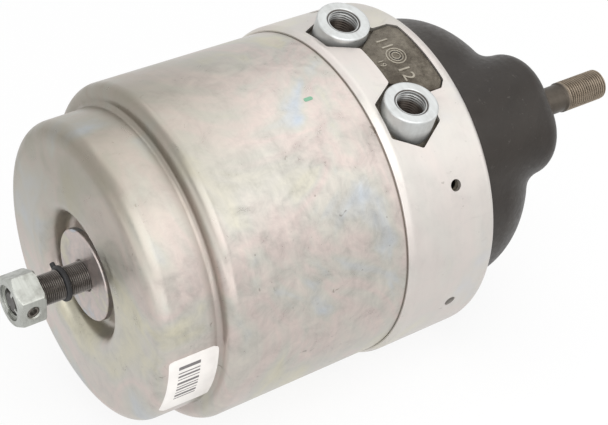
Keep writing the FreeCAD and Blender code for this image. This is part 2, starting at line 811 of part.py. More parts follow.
# Release spindle: thread diameter outside, turned down in the hexagon, the stop ring and the head
turned_end_x = washer_x - face_gap
head_end_x = head_x + head_length - 1.0
spindle = turned([
    (hex_outer_x + 1.0, 0, 0),
    (hex_outer_x + 1.0, spindle_core_radius, 0),
    (hex_inner_x, spindle_core_radius, 0),
    (hex_inner_x, spindle_radius, 0),
    (turned_end_x, spindle_radius, 0),
    (turned_end_x, spindle_core_radius, 0),
    (head_end_x, spindle_core_radius, 0),
    (head_end_x, 0, 0),
])
ring_left_x = stop_ring_x - stop_ring_width / 2.0
ring_right_x = stop_ring_x + stop_ring_width / 2.0
spindle = spindle.cut(ring(ring_left_x, ring_right_x, spindle_core_radius, head_radius))
pin_way = direction(cross_pin_angle)
pin_half = hex_across_flats / 2.0 - cross_pin_short
pin_base = Vector(cross_pin_x, 0, 0) - pin_way * pin_half
hole_base = Vector(cross_pin_x, 0, 0) - pin_way * hex_across_flats
pin_hole = Part.makeCylinder(cross_pin_radius + seat_gap, 2.0 * hex_across_flats, hole_base, pin_way)
save("release_spindle", spindle.cut(pin_hole))

# Hexagon on the outer end of the spindle, with chamfered corners and a cross pin through two flats
corner_radius = hex_across_flats / math.sqrt(3.0)
hex_points = []
for i in range(7):
    corner_way = direction(cross_pin_angle + 30.0 + 60.0 * i)
    hex_points.append(Vector(hex_outer_x, 0, 0) + corner_way * corner_radius)
hexagon = Part.Face(Part.makePolygon(hex_points)).extrude(Vector(hex_length, 0, 0))
hexagon = hexagon.common(turned([
    (hex_outer_x, 0, 0),
    (hex_outer_x, corner_radius - hex_chamfer, 0),
    (hex_outer_x + hex_chamfer, corner_radius + 0.2, 0),
    (hex_inner_x - hex_inner_chamfer, corner_radius + 0.2, 0),
    (hex_inner_x, corner_radius - hex_inner_chamfer, 0),
    (hex_inner_x, 0, 0),
]))
hexagon = hexagon.cut(rod(hex_outer_x - 1.0, hex_inner_x + 1.0, spindle_core_radius + seat_gap))
save("release_hexagon", hexagon.cut(pin_hole))
pin = Part.makeCylinder(cross_pin_radius, 2.0 * pin_half, pin_base, pin_way)
pin = pin.cut(Part.makeCylinder(cross_pin_radius - cross_pin_wall, 2.0 * pin_half, pin_base, pin_way))
save("hexagon_cross_pin", pin)

# Stop ring in its groove, with one short lug
stop = ring(ring_left_x + seat_gap, ring_right_x - seat_gap, spindle_core_radius + seat_gap,
            stop_ring_radius, stop_ring_edge)
lug_way = direction(lug_angle)
lug_foot = Vector(stop_ring_x, 0, 0) + lug_way * (stop_ring_radius - 1.0)
save("spindle_stop_ring", stop.fuse(Part.makeCylinder(lug_radius, 1.0 + lug_reach, lug_foot, lug_way)))

# Spindle head: a pinned collar that carries the load of the power spring
save("spindle_head", ring(head_x, head_x + head_length, spindle_core_radius + seat_gap, head_radius, 1.0))
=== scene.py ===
import json
import math
import bpy
import bmesh
import numpy as np
from mathutils import Matrix, Vector


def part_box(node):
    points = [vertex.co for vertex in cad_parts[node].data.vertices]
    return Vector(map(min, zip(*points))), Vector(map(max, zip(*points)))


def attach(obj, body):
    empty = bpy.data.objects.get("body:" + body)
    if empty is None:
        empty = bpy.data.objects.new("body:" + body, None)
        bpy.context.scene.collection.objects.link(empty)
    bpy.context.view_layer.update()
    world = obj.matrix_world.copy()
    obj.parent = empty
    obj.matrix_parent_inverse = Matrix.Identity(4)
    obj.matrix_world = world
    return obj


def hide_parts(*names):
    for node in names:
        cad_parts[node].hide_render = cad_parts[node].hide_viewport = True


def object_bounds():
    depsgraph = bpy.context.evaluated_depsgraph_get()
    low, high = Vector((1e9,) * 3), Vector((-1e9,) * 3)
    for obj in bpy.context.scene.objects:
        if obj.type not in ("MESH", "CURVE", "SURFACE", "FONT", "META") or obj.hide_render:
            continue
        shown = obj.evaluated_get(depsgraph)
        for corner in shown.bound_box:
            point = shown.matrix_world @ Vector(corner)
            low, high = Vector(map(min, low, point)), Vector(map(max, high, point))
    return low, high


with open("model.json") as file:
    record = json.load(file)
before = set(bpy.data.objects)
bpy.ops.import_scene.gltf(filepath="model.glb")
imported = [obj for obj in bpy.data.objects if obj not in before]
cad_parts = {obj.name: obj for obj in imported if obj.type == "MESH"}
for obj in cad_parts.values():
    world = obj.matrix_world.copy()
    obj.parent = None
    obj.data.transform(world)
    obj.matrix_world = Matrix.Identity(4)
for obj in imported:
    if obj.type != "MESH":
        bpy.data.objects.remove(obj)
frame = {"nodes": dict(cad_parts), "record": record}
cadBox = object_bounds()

mm = 0.001  # drawing sizes below are in millimetres, the scene is in metres
scene = bpy.context.scene
scene.view_settings.view_transform = "Standard"
mounts = {mount["name"]: mount for mount in frame["record"]["mounts"]}


# Camera, where the photographer stood
photoView = {"place": (-505.6, -559.4, 422.1), "heading": 35.19, "dip": 32.35, "focalPixels": 1554.7,
             "photoWidth": 608, "sensorWidth": 36.0, "nearest": 0.05}


def placeCamera(view):
    data = bpy.data.cameras.new("photoCamera")
    data.sensor_fit = "HORIZONTAL"
    data.sensor_width = view["sensorWidth"]
    data.lens = view["sensorWidth"] * view["focalPixels"] / view["photoWidth"]
    data.clip_start = view["nearest"]
    camera = bpy.data.objects.new("photoCamera", data)
    scene.collection.objects.link(camera)
    heading = math.radians(view["heading"])  # from +Y towards +X
    dip = math.radians(view["dip"])  # below the horizon
    look = Vector((math.cos(dip) * math.sin(heading), math.cos(dip) * math.cos(heading), -math.sin(dip)))
    turn = look.to_track_quat("-Z", "Y").to_matrix().to_4x4()
    camera.matrix_world = Matrix.Translation(Vector(view["place"]) * mm) @ turn
    scene.camera = camera


placeCamera(photoView)
print("camera placed")


# Shapes worked out as whole arrays
mergeReach = 0.002  # points nearer than this become one
joinReach = 0.004
smoothAngle = 32.0  # an edge that bends more than this stays sharp
threadShape = {"crest": 0.12, "flank": 0.72, "reach": 0.02}  # shares of half a pitch; mm beside the crest


def roundedPath(corners, closed=True, turnStep=9.0, guard=0.25):
    # corners are (along, across, rounding); a rounding becomes an arc that meets both runs squarely,
    # and each long run gets a guard point near both ends so that smooth shading stays flat on it
    points = []
    count = len(corners)
    for i, (u, v, rounding) in enumerate(corners):
        here = np.array((u, v), float)
        if rounding <= 0 or (not closed and i in (0, count - 1)):
            points.append(here[None, :])
            continue
        back = np.array(corners[i - 1][:2], float) - here
        ahead = np.array(corners[(i + 1) % count][:2], float) - here
        back /= np.linalg.norm(back)
        ahead /= np.linalg.norm(ahead)
        half = math.acos(np.clip(back @ ahead, -1, 1)) / 2
        centre = here + (back + ahead) / np.linalg.norm(back + ahead) * rounding / math.sin(half)
        first = here + back * rounding / math.tan(half) - centre
        last = here + ahead * rounding / math.tan(half) - centre
        sweep = math.pi - 2 * half
        steps = max(2, int(math.ceil(math.degrees(sweep) / turnStep)))
        t = np.linspace(0, 1, steps + 1)[:, None]
        points.append(centre + (np.sin((1 - t) * sweep) * first + np.sin(t * sweep) * last) / math.sin(sweep))
    path = np.vstack(points)
    after = np.roll(path, -1, axis=0)
    run = np.linalg.norm(after - path, axis=1)
    out = []
    for i in range(len(path)):
        out.append(path[i])
        if run[i] > 8 * guard and (closed or i < len(path) - 1):
            way = (after[i] - path[i]) / run[i]
            out.extend((path[i] + way * guard, after[i] - way * guard))
    return np.array(out)


def ringPoints(x, r, a):
    # station x, radius r and angle a give the point (x, r cos a, r sin a)
    return np.stack([x + 0 * a, r * np.cos(a), r * np.sin(a)], axis=-1)


def spin(path, around=160, wave=None):
    # surface of revolution of a path of (x, r); wave changes r from x, r and a, as a thread does
    a = np.linspace(0, 2 * np.pi, around, endpoint=False)[None, :]
    x = path[:, :1] + 0 * a
    r = path[:, 1:] + 0 * a
    return ringPoints(x, wave(x, r, a) if wave else r, a)


def threadWave(first, last, pitch, depth, crest, outside=True):
    # trapezoid thread: phase x / pitch - a / 2 pi makes a right-hand helix, faded over a pitch at each end
    def wave(x, r, a):
        phase = (x / pitch - a / (2 * np.pi)) % 1.0
        tooth = np.clip((np.abs(2 * phase - 1) - threadShape["crest"]) / threadShape["flank"], 0, 1)
        fade = np.clip((x - first) / pitch, 0, 1) * np.clip((last - x) / pitch, 0, 1)
        inZone = (x > first) & (x < last) & (np.abs(r - crest) < threadShape["reach"])
        change = depth * tooth * fade
        return np.where(inZone, r - change if outside else r + change, r)
    return wave


def smoothEdges(mesh, sharp):
    mesh.shade_smooth()
    mesh.set_sharp_from_angle(angle=math.radians(sharp))


def gridMesh(name, grid, closedRows=True, closedCols=True, sharp=smoothAngle):
    # quads between neighbouring points; poles and seams merge, open ends fill, normals face outwards
    rows, cols = grid.shape[:2]
    index = np.arange(rows * cols).reshape(rows, cols)
    if closedRows:
        index = np.vstack([index, index[:1]])
    if closedCols:
        index = np.hstack([index, index[:, :1]])
    quads = np.stack([index[:-1, :-1], index[1:, :-1], index[1:, 1:], index[:-1, 1:]], axis=-1).reshape(-1, 4)
    mesh = bpy.data.meshes.new(name)
    mesh.vertices.add(rows * cols)
    mesh.vertices.foreach_set("co", (grid * mm).astype(np.float32).ravel())
    mesh.loops.add(quads.size)
    mesh.loops.foreach_set("vertex_index", quads.astype(np.int32).ravel())
    mesh.polygons.add(len(quads))
    mesh.polygons.foreach_set("loop_start", np.arange(0, quads.size, 4, dtype=np.int32))
    mesh.update(calc_edges=True)
    work = bmesh.new()
    work.from_mesh(mesh)
    bmesh.ops.remove_doubles(work, verts=work.verts, dist=mergeReach * mm)
    holes = [edge for edge in work.edges if edge.is_boundary]
    if holes:
        bmesh.ops.holes_fill(work, edges=holes, sides=0)
    bmesh.ops.recalc_face_normals(work, faces=work.faces)
    work.to_mesh(mesh)
    work.free()
    smoothEdges(mesh, sharp)
    return mesh


def looseObject(name, data):
    thing = bpy.data.objects.new(name, data)
    scene.collection.objects.link(thing)
    return thing


def addPiece(name, mesh, body, material, slotName, *nodes):
    piece = looseObject(name, mesh)
    mesh.materials.clear()
    mesh.materials.append(material)
    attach(piece, body)
    if nodes:
        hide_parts(*nodes)


def joinMeshes(name, meshes):
    work = bmesh.new()
    for mesh in meshes:
        work.from_mesh(mesh)
    bmesh.ops.remove_doubles(work, verts=work.verts, dist=joinReach * mm)
    bmesh.ops.recalc_face_normals(work, faces=work.faces)
    joined = bpy.data.meshes.new(name)
    work.to_mesh(joined)
    work.free()
    smoothEdges(joined, smoothAngle)
    return joined


def finishedCopy(thing):
    # the mesh of an object with its modifiers and text worked out
    bpy.context.view_layer.update()
    return bpy.data.meshes.new_from_object(thing.evaluated_get(bpy.context.evaluated_depsgraph_get()))


def cutAway(mesh, cutters, sharp=smoothAngle):
    # exact solid cuts; the cutters are used up
    target = looseObject("cutTarget", mesh)
    tools = [looseObject("cutter%d" % i, cutter) for i, cutter in enumerate(cutters)]
    for tool in tools:
        step = target.modifiers.new("cut", "BOOLEAN")
        step.operation = "DIFFERENCE"
        step.solver = "EXACT"
        step.object = tool
    result = finishedCopy(target)
    result.name = mesh.name
    for thing in [target] + tools:
        bpy.data.objects.remove(thing, do_unlink=True)
    result.materials.clear()
    smoothEdges(result, sharp)
    return result


def turnedTo(grid, base, out):
    # carries a shape drawn along +X to the axis through base in the direction out
    out = np.array(out, float) / np.linalg.norm(out)
    side = np.cross(out, (1.0, 0, 0))
    side /= np.linalg.norm(side)
    other = np.cross(out, side)
    return np.array(base, float) + grid[..., :1] * out + grid[..., 1:2] * side + grid[..., 2:] * other


def prism(outline, low, high, place):
    # straight prism over a closed outline; place(u, v, height) gives the points
    rows = [place(outline[:, 0], outline[:, 1], h) for h in (low, high)]
    centres = [row.mean(axis=0)[None, :] + 0 * row for row in rows]
    return np.stack([centres[0], rows[0], rows[1], centres[1]])


def turnedMesh(name, corners, around, closed=False, turnStep=9.0, wave=None, place=None, sharp=smoothAngle):
    # surface of revolution of (station, radius, rounding) corners; place(grid) carries it where it belongs
    grid = spin(roundedPath(corners, closed, turnStep), around, wave)
    return gridMesh(name, place(grid) if place else grid, closedRows=closed, sharp=sharp)


def across(angle):
    # unit vector square to the axis: 0 is +Y, 90 is up
    return np.array((0.0, math.cos(math.radians(angle)), math.sin(math.radians(angle))))


def stations(node):
    low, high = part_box(node)
    return low[0] / mm, high[0] / mm


# Places of the ports and studs
portPlace = {name: np.array(mounts[name]["pos_m"]) / mm for name in ("service_port", "spring_port")}
portUp = np.array(mounts["service_port"]["axis"], float)
portUp /= np.linalg.norm(portUp)
portSide = np.cross(portUp, (1.0, 0, 0)) * -1.0
portSide = -portSide if (portPlace["service_port"] - portPlace["spring_port"]) @ portSide < 0 else portSide
portAngle = math.degrees(math.atan2(portUp[2], portUp[1]))
studPlaces = {name: np.array([(a + b) / 2 for a, b in zip(*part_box(name))]) / mm
              for name in ("upper_mounting_stud", "lower_mounting_stud")}
squareToAxis = np.array((0, 1, 1))  # takes the station out of a place
studLine = studPlaces["upper_mounting_stud"] * squareToAxis
studLine /= np.linalg.norm(studLine)
studAcross = np.cross((1.0, 0, 0), studLine)


# Finishes
# each noise has a scale, a detail, a roughness and sometimes a distortion
grains = {"mottle": (95.0, 7.0, 0.72, 0.5), "lines": (1.0, 4.0, 0.6), "specks": (210.0, 3.0, 0.6, 0.8),
          "rubs": (34.0, 8.0, 0.75, 2.2), "dents": (17.0, 3.0, 0.5), "rings": (1.0, 2.0, 0.5),
          "patches": (130.0, 5.0, 0.65), "paintClouds": (19.0, 6.0, 0.66, 0.8), "peel": (420.0, 4.0, 0.6),
          "dust": (240.0, 4.0, 0.7, 0.5), "sand": (1300.0, 4.0, 0.7), "highSpots": (38.0, 9.0, 0.80),
          "bloom": (60.0, 5.0, 0.6), "rubberGrain": (700.0, 3.0, 0.6), "plasticClouds": (80.0, 4.0, 0.6),
          "plasticGrain": (500.0, 3.0, 0.6)}


def startMaterial(name, color, metallic, roughness, specular=0.5):
    material = bpy.data.materials.new(name)
    material.use_nodes = True
    material.diffuse_color = (*color, 1)
    shader = material.node_tree.nodes["Principled BSDF"]
    shader.inputs["Base Color"].default_value = (*color, 1)
    for key, value in (("Metallic", metallic), ("Roughness", roughness), ("Specular IOR Level", specular)):
        shader.inputs[key].default_value = value
    return material, material.node_tree, shader


def addNode(tree, kind, output, sockets, **options):
    # numbers, colors and places go into the node's sockets, anything else is linked to them
    node = tree.nodes.new("ShaderNode" + kind)
    for option, value in options.items():
        setattr(node, option, value)
    for key, value in sockets.items():
        socket = node.inputs[key]
        if isinstance(value, (int, float)):
            socket.default_value = value
        elif isinstance(value, tuple):
            socket.default_value = (*value, 1)[:len(socket.default_value)]
        else:
            tree.links.new(value, socket)
    return node.outputs[output]


def place3d(tree, scale=(1, 1, 1), shift=(0, 0, 0)):
    coords = tree.nodes.new("ShaderNodeTexCoord").outputs["Object"]
    return addNode(tree, "Mapping", "Vector", {"Vector": coords, "Scale": scale, "Location": shift})


def noise(tree, vector, scale, detail, roughness, distortion=0.0):
    return addNode(tree, "TexNoise", "Fac", {"Vector": vector, "Scale": scale, "Detail": detail,
                                             "Roughness": roughness, "Distortion": distortion})


def grain(tree, name, scale=(1, 1, 1), shift=(0, 0, 0)):
    return noise(tree, place3d(tree, scale, shift), *grains[name])


def ramp(tree, value, stops):
    node = tree.nodes.new("ShaderNodeValToRGB")
    elements = node.color_ramp.elements
    elements[0].position = stops[0][0]
    elements[1].position = stops[-1][0]
    for at, color in stops[1:-1]:
        elements.new(at)
    for element, (at, color) in zip(elements, stops):
        element.color = (*color, 1)
    tree.links.new(value, node.inputs["Fac"])
    return node.outputs["Color"]


def spread(tree, value, low, high, fromLow=0.0, fromHigh=1.0):
    return addNode(tree, "MapRange", "Result", {"Value": value, "From Min": fromLow, "From Max": fromHigh,
                                                "To Min": low, "To Max": high})


def blendColors(tree, kind, factor, first, second):
    sockets = {0: factor, 6: first, 7: second}  # the ones for colors
    return addNode(tree, "Mix", 2, sockets, data_type="RGBA", blend_type=kind)


def overlay(tree, under, color, value, start, full, most=1.0):
    # another color over the first: none of it where the value is at start, the most of it at full
    return blendColors(tree, "MIX", ramp(tree, value, [(start, gray(0.0)), (full, gray(most))]), under, color)


def roughFrom(tree, shader, value, roughness, less, more):
    rough = spread(tree, value, roughness - less, roughness + more, 0.3, 0.7)
    tree.links.new(rough, shader.inputs["Roughness"])


def bumpFrom(tree, shader, value, strength, distance, under=None):
    sockets = {"Strength": strength, "Distance": distance, "Height": value}
    if under:
        sockets["Normal"] = under
    normal = addNode(tree, "Bump", "Normal", sockets)
    tree.links.new(normal, shader.inputs["Normal"])
    return normal


def math2(tree, operation, first, second=0.0):
    return addNode(tree, "Math", 0, {0: first, 1: second}, operation=operation)


def along(tree, direction):
    # how far a point lies in a direction, in metres
    sockets = {0: place3d(tree), 1: tuple(direction)}
    return addNode(tree, "VectorMath", "Value", sockets, operation="DOT_PRODUCT")


def station(tree):
    return along(tree, (1, 0, 0))


def distance2(tree, first, second):
    squares = [math2(tree, "MULTIPLY", part, part) for part in (first, second)]
    return math2(tree, "SQRT", math2(tree, "ADD", *squares))


def axisDistance(tree):
    return distance2(tree, along(tree, (0, 1, 0)), along(tree, (0, 0, 1)))


def besidePair(tree, direction, place):
    # how far a point lies to the side of the nearer of two axes that mirror each other, in metres
    aside = math2(tree, "ABSOLUTE", along(tree, direction))
    return math2(tree, "SUBTRACT", aside, float(place @ direction) * mm)


def gray(amount):
    return (amount, amount, amount)


def nearRing(tree, x, radius, reach, amount):
    # soft ring of painted shade round the axis: full at (x, radius), gone at reach
    beside = math2(tree, "SUBTRACT", station(tree), x * mm)
    away = distance2(tree, beside, math2(tree, "SUBTRACT", axisDistance(tree), radius * mm))
    return spread(tree, away, amount, 0.0, 0.0, reach * mm)


zincFinish = {"base": (0.498, 0.480, 0.435), "rose": (0.565, 0.480, 0.448), "blue": (0.440, 0.488, 0.55),
              "gold": (0.55, 0.52, 0.405), "metallic": 0.82, "roughness": 0.34, "clouds": 14.0,
              "cloudShift": (0.11, 0.07, 0.03), "tint": 0.85, "mottle": 1.0, "streak": (300.0, 16.0, 16.0),
              "lines": 0.25, "specks": 0.45, "rubs": 0.09, "grimeAndShade": (0.12, 0.10, 0.075)}
# painted shade round the axis: in the shoulder's valley, on the upper shoulder and cap edge, in the recess,
# and a dark line where the clamp band's edge meets the cylinder; each is a station, a radius, a reach, an
# amount, and whether it lies on the upper half alone
zincShadeRings = [(-211.0, 76.5, 6.0, 0.35, False), (-211.0, 78.5, 9.0, 0.45, True),
            (-208.0, 84.5, 5.0, 0.50, True), (-240.0, 72.5, 8.0, 0.60, True),
            (-111.3, 86.1, 0.8, 0.95, False), (-228.5, 24.0, 10.0, 0.30, False)]
# the upper half, in metres along a direction, and the painted shade that darkens the end that is turned up
upperHalf = {"way": (0.0, 0.25, 0.97), "from": -0.015, "to": 0.055}
zincTopShade = {"color": (0.25, 0.23, 0.18), "way": (-0.62, 0.25, 0.74), "from": 0.142, "to": 0.196, "most": 0.8}


def zincMaterial(name, finish, shadeRings=(), topShade=None):
    # passivated zinc: slow rose, blue and gold clouds, fine mottling, faint drawing lines, dark specks, then
    # painted shade in the valleys, on the upper shoulder and cap edge, in the recess and at the band's edge,
    # and painted shade toning the end that is turned up
    base, grimeAndShade = finish["base"], finish["grimeAndShade"]
    material, tree, shader = startMaterial(name, base, finish["metallic"], finish["roughness"])
    clouds = noise(tree, place3d(tree, shift=finish["cloudShift"]), finish["clouds"], 4.0, 0.56, 0.9)
    tint = ramp(tree, clouds, [(0.30, finish["blue"]), (0.41, base), (0.48, finish["rose"]), (0.56, base),
                               (0.64, finish["gold"]), (0.76, finish["rose"])])
    color = blendColors(tree, "MIX", finish["tint"], base, tint)
    mottle = grain(tree, "mottle")
    shades = ramp(tree, mottle, [(0.30, gray(0.80)), (0.50, gray(0.97)), (0.68, (1.09, 1.085, 1.07))])
    color = blendColors(tree, "MULTIPLY", finish["mottle"], color, shades)
    streaks = grain(tree, "lines", scale=finish["streak"])
    lines = ramp(tree, streaks, [(0.30, gray(0.80)), (0.62, gray(1.0))])
    color = blendColors(tree, "MULTIPLY", finish["lines"], color, lines)
    specks = grain(tree, "specks", shift=(0.3, 0.1, 0.2))
    color = overlay(tree, color, grimeAndShade, specks, 0.685, 0.74, finish["specks"])
    rubs = grain(tree, "rubs", shift=(0.5, 0.2, 0.7))
    marks = ramp(tree, rubs, [(0.60, gray(0.0)), (0.66, gray(finish["rubs"])), (0.72, gray(0.0))])
    color = blendColors(tree, "MIX", marks, color, grimeAndShade)
    # painted shade rings with mottled strength, some on the upper half alone; the grime colour serves as
    # their shade
    for x, radius, reach, amount, onlyUpper in shadeRings:
        paintedShade = nearRing(tree, x, radius, reach, amount)
        paintedShade = math2(tree, "MULTIPLY", paintedShade, spread(tree, mottle, 0.65, 1.2, 0.3, 0.7))
        if onlyUpper:
            upper = spread(tree, along(tree, upperHalf["way"]), 0.0, 1.0, upperHalf["from"], upperHalf["to"])
            paintedShade = math2(tree, "MULTIPLY", paintedShade, upper)
        color = blendColors(tree, "MIX", paintedShade, color, grimeAndShade)
    # painted shade: darker towards the upturned end and the top, its strength varied by the clouds
    if topShade:
        topShadeAmount = spread(tree, along(tree, topShade["way"]), 0.0, topShade["most"], topShade["from"], topShade["to"])
        topShadeAmount = math2(tree, "MULTIPLY", topShadeAmount, spread(tree, clouds, 0.55, 1.1, 0.3, 0.7))
        color = blendColors(tree, "MIX", topShadeAmount, color, topShade["color"])
    tree.links.new(color, shader.inputs["Base Color"])
    roughFrom(tree, shader, mottle, finish["roughness"], 0.09, 0.12)
    fine = bumpFrom(tree, shader, streaks, 0.07, 0.0003)
    fine = bumpFrom(tree, shader, mottle, 0.16, 0.0003, fine)
    bumpFrom(tree, shader, grain(tree, "dents"), 0.22, 0.0016, fine)
    return material


threadDarkTone = (0.033, 0.029, 0.025)


def machinedMaterial(name, color, metallic, roughness, fineness, wear, dark, shade=None, darkTone=threadDarkTone):
    # turned steel: lines across the axis of some fineness, worn patches; shade(tree) says where the darker
    # tone is painted over it
    material, tree, shader = startMaterial(name, color, metallic, roughness)
    rings = grain(tree, "rings", scale=(fineness, 30, 30))
    ringTone = ramp(tree, rings, [(0.25, (0.72, 0.71, 0.70)), (0.7, gray(1.0))])
    tone = blendColors(tree, "MULTIPLY", 0.45, color, ringTone)
    patches = grain(tree, "patches")
    tone = overlay(tree, tone, dark, patches, 0.50, 0.70, wear)
    if shade:
        tone = blendColors(tree, "MIX", shade(tree), tone, darkTone)
    tree.links.new(tone, shader.inputs["Base Color"])
    roughFrom(tree, shader, patches, roughness, 0.08, 0.12)
    bumpFrom(tree, shader, rings, 0.12, 0.0002)
    return material


def paintMaterial(name, color, lighter, roughness, dust):
    # baked paint: orange peel, slow lighter clouds and fine dust
    material, tree, shader = startMaterial(name, color, 0.0, roughness, 0.32)
    clouds = grain(tree, "paintClouds")
    tone = overlay(tree, color, lighter, clouds, 0.35, 0.70)
    tone = overlay(tree, tone, dust, grain(tree, "dust", shift=(0.2, 0.4, 0.1)), 0.62, 0.74, 0.55)
    tree.links.new(tone, shader.inputs["Base Color"])
    peel = grain(tree, "peel")
    roughFrom(tree, shader, peel, roughness, 0.07, 0.09)
    fine = bumpFrom(tree, shader, peel, 0.22, 0.0004)
    bumpFrom(tree, shader, clouds, 0.20, 0.002, fine)
    return material


def castMaterial(name, color, lighter, roughness, metallic, shadeBelowBand=0.0):
    # as-cast metal: sandy grain and rubbed, lighter high spots
    material, tree, shader = startMaterial(name, color, metallic, roughness)
    sand = grain(tree, "sand")
    highSpots = grain(tree, "highSpots")
    tone = overlay(tree, color, lighter, highSpots, 0.40, 0.62)
    if shadeBelowBand:
        # painted shade: nearly black below the clamp band's sheet, seen through the vents and beside the pad
        shadow = spread(tree, axisDistance(tree), shadeBelowBand, 0.0, 0.0848, 0.0868)
        tone = blendColors(tree, "MIX", shadow, tone, (0.010, 0.008, 0.006))
    tree.links.new(tone, shader.inputs["Base Color"])
    roughFrom(tree, shader, sand, roughness, 0.1, 0.15)
    fine = bumpFrom(tree, shader, sand, 0.70, 0.0006)
    bumpFrom(tree, shader, highSpots, 0.35, 0.0008, fine)
    return material


def rubberMaterial(name, color):
    material, tree, shader = startMaterial(name, color, 0.0, 0.62, 0.4)
    paler = tuple(c * 1.9 + 0.012 for c in color)
    bloom = ramp(tree, grain(tree, "bloom"), [(0.35, color), (0.75, paler)])
    tree.links.new(bloom, shader.inputs["Base Color"])
    bumpFrom(tree, shader, grain(tree, "rubberGrain"), 0.15, 0.0003)
    return material


def plasticMaterial(name, color, roughness=0.45):
    material, tree, shader = startMaterial(name, color, 0.0, roughness)
    darker = tuple(c * 0.88 for c in color)
    clouds = ramp(tree, grain(tree, "plasticClouds"), [(0.3, darker), (0.7, color)])
    tree.links.new(clouds, shader.inputs["Base Color"])
    bumpFrom(tree, shader, grain(tree, "plasticGrain"), 0.08, 0.0003)
    return material


# painted shade in thread roots and hollows, and the stud's darker waist: its amount at a first and a last
# distance, then those distances in metres
portShadeRamps = {"roots": (0.15, 0.92, 0.0074, 0.0079), "deep": (0.98, 0.10, 0.0830, 0.0893),
            "foot": (0.40, 0.0, 0.0790, 0.0830), "bore": (1.0, 0.0, 0.0083, 0.0085),
            "wall": (0.0, 1.0, 0.0130, 0.0132)}
studDarkRamps = {"roots": (0.85, 0.0, 0.0071, 0.0079), "waist": (0.85, 0.0, 0.0185, 0.0205)}
spindleShadeRamp = (0.9, 0.0, 0.0068, 0.00745)


def portShade(tree):
    # painted shade: dark in the thread roots and towards the bottom of both ports, and at the foot of their
    # outer walls, from the way to the nearer port's axis
    place = portPlace["service_port"]
    fromStation = math2(tree, "SUBTRACT", station(tree), float(place[0]) * mm)
    away = distance2(tree, besidePair(tree, portSide, place), fromStation)
    height = along(tree, portUp)
    roots, bore, wall = (spread(tree, away, *portShadeRamps[key]) for key in ("roots", "bore", "wall"))
    deep, foot = (spread(tree, height, *portShadeRamps[key]) for key in ("deep", "foot"))
    inside = math2(tree, "MULTIPLY", bore, math2(tree, "MAXIMUM", roots, deep))
    return math2(tree, "MAXIMUM", inside, math2(tree, "MULTIPLY", wall, foot))


def studShade(tree):
    # painted shade in the thread roots, and a darker waist near the face
    beside = besidePair(tree, studLine, studPlaces["upper_mounting_stud"])
    roots = spread(tree, distance2(tree, beside, along(tree, studAcross)), *studDarkRamps["roots"])
    return math2(tree, "MAXIMUM", roots, spread(tree, station(tree), *studDarkRamps["waist"]))


def spindleShade(tree):
    # painted shade in the thread roots, the grooves and the stepped end, from the distance to the axis
    return spread(tree, axisDistance(tree), *spindleShadeRamp)


zinc = zincMaterial("passivatedZinc", zincFinish, zincShadeRings, zincTopShade)
bandSteel = zincMaterial("bandSteel", dict(
    zincFinish, base=(0.578, 0.552, 0.518), rose=(0.60, 0.55, 0.52), blue=(0.55, 0.552, 0.572),
    gold=(0.595, 0.57, 0.495), metallic=0.7, clouds=11.0, roughness=0.41, lines=0.12, specks=0.3,
    mottle=0.35))
bushZinc = zincMaterial("bushZinc", dict(
    zincFinish, base=(0.47, 0.43, 0.41), clouds=55.0, streak=(9.0, 300.0, 300.0), lines=0.4, roughness=0.38))
portZinc = machinedMaterial("portZinc", (0.56, 0.575, 0.57), 0.70, 0.36, 500.0, 0.30,
                            (0.30, 0.29, 0.27), portShade, (0.035, 0.024, 0.017))
brightSteel = machinedMaterial("brightSteel", (0.43, 0.44, 0.41), 0.80, 0.34, 900.0, 0.50,
                               (0.17, 0.165, 0.145))
darkSteel = machinedMaterial("darkSteel", (0.15, 0.135, 0.12), 0.75, 0.38, 900.0, 0.4, (0.10, 0.09, 0.08))
spindleSteel = machinedMaterial("spindleSteel", (0.27, 0.245, 0.225), 0.80, 0.34, 600.0, 0.45,
                                (0.06, 0.05, 0.045), spindleShade)
bronzePlate = machinedMaterial("bronzePlate", (0.36, 0.295, 0.225), 0.72, 0.42, 700.0, 0.45,
                               (0.10, 0.08, 0.06), studShade)
housingPaint = paintMaterial("housingPaint", (0.017, 0.013, 0.010), (0.030, 0.024, 0.019), 0.40,
                             (0.10, 0.09, 0.08))
springPaint = paintMaterial("springPaint", (0.03, 0.03, 0.033), (0.05, 0.05, 0.055), 0.5, (0.08, 0.08, 0.08))
castDark = castMaterial("castDark", (0.070, 0.058, 0.044), (0.225, 0.200, 0.160), 0.42, 0.75, shadeBelowBand=0.92)
castRubbed = castMaterial("castRubbed", (0.30, 0.27, 0.22), (0.40, 0.37, 0.31), 0.38, 0.7)
castShadow = castMaterial("castShadow", (0.022, 0.019, 0.016), (0.04, 0.035, 0.03), 0.7, 0.2)
castAlloy = castMaterial("castAlloy", (0.46, 0.46, 0.45), (0.62, 0.62, 0.61), 0.45, 0.85)
rubber = rubberMaterial("sealRubber", (0.018, 0.018, 0.019))
guidePlastic = plasticMaterial("guidePlastic", (0.62, 0.58, 0.48))
labelPaper = plasticMaterial("labelPaper", (0.80, 0.77, 0.74), 0.6)
labelInk = plasticMaterial("labelInk", (0.16, 0.15, 0.15), 0.6)
greenPaint = plasticMaterial("greenPaint", (0.20, 0.42, 0.28), 0.5)
print("materials ready")


# Spring cylinder, drawn from one sheet
cylinder = {"radius": 86.0, "sheet": 3.0, "shoulder": -210.5, "shoulderRounding": 6.0, "footRounding": 2.6,
            "capRadius": 75.9, "capTaper": 0.4, "capEnd": -241.3, "capRounding": 8.5, "rise": 2.4,
            "rimWidth": 13.0, "domeRounding": 14.0, "innerDome": 15.0, "recess": 31.5, "rimRounding": 7.5,
            "floor": -229.0, "floorRounding": 4.0, "innerFloor": 6.0, "hole": 13.02, "around": 288}


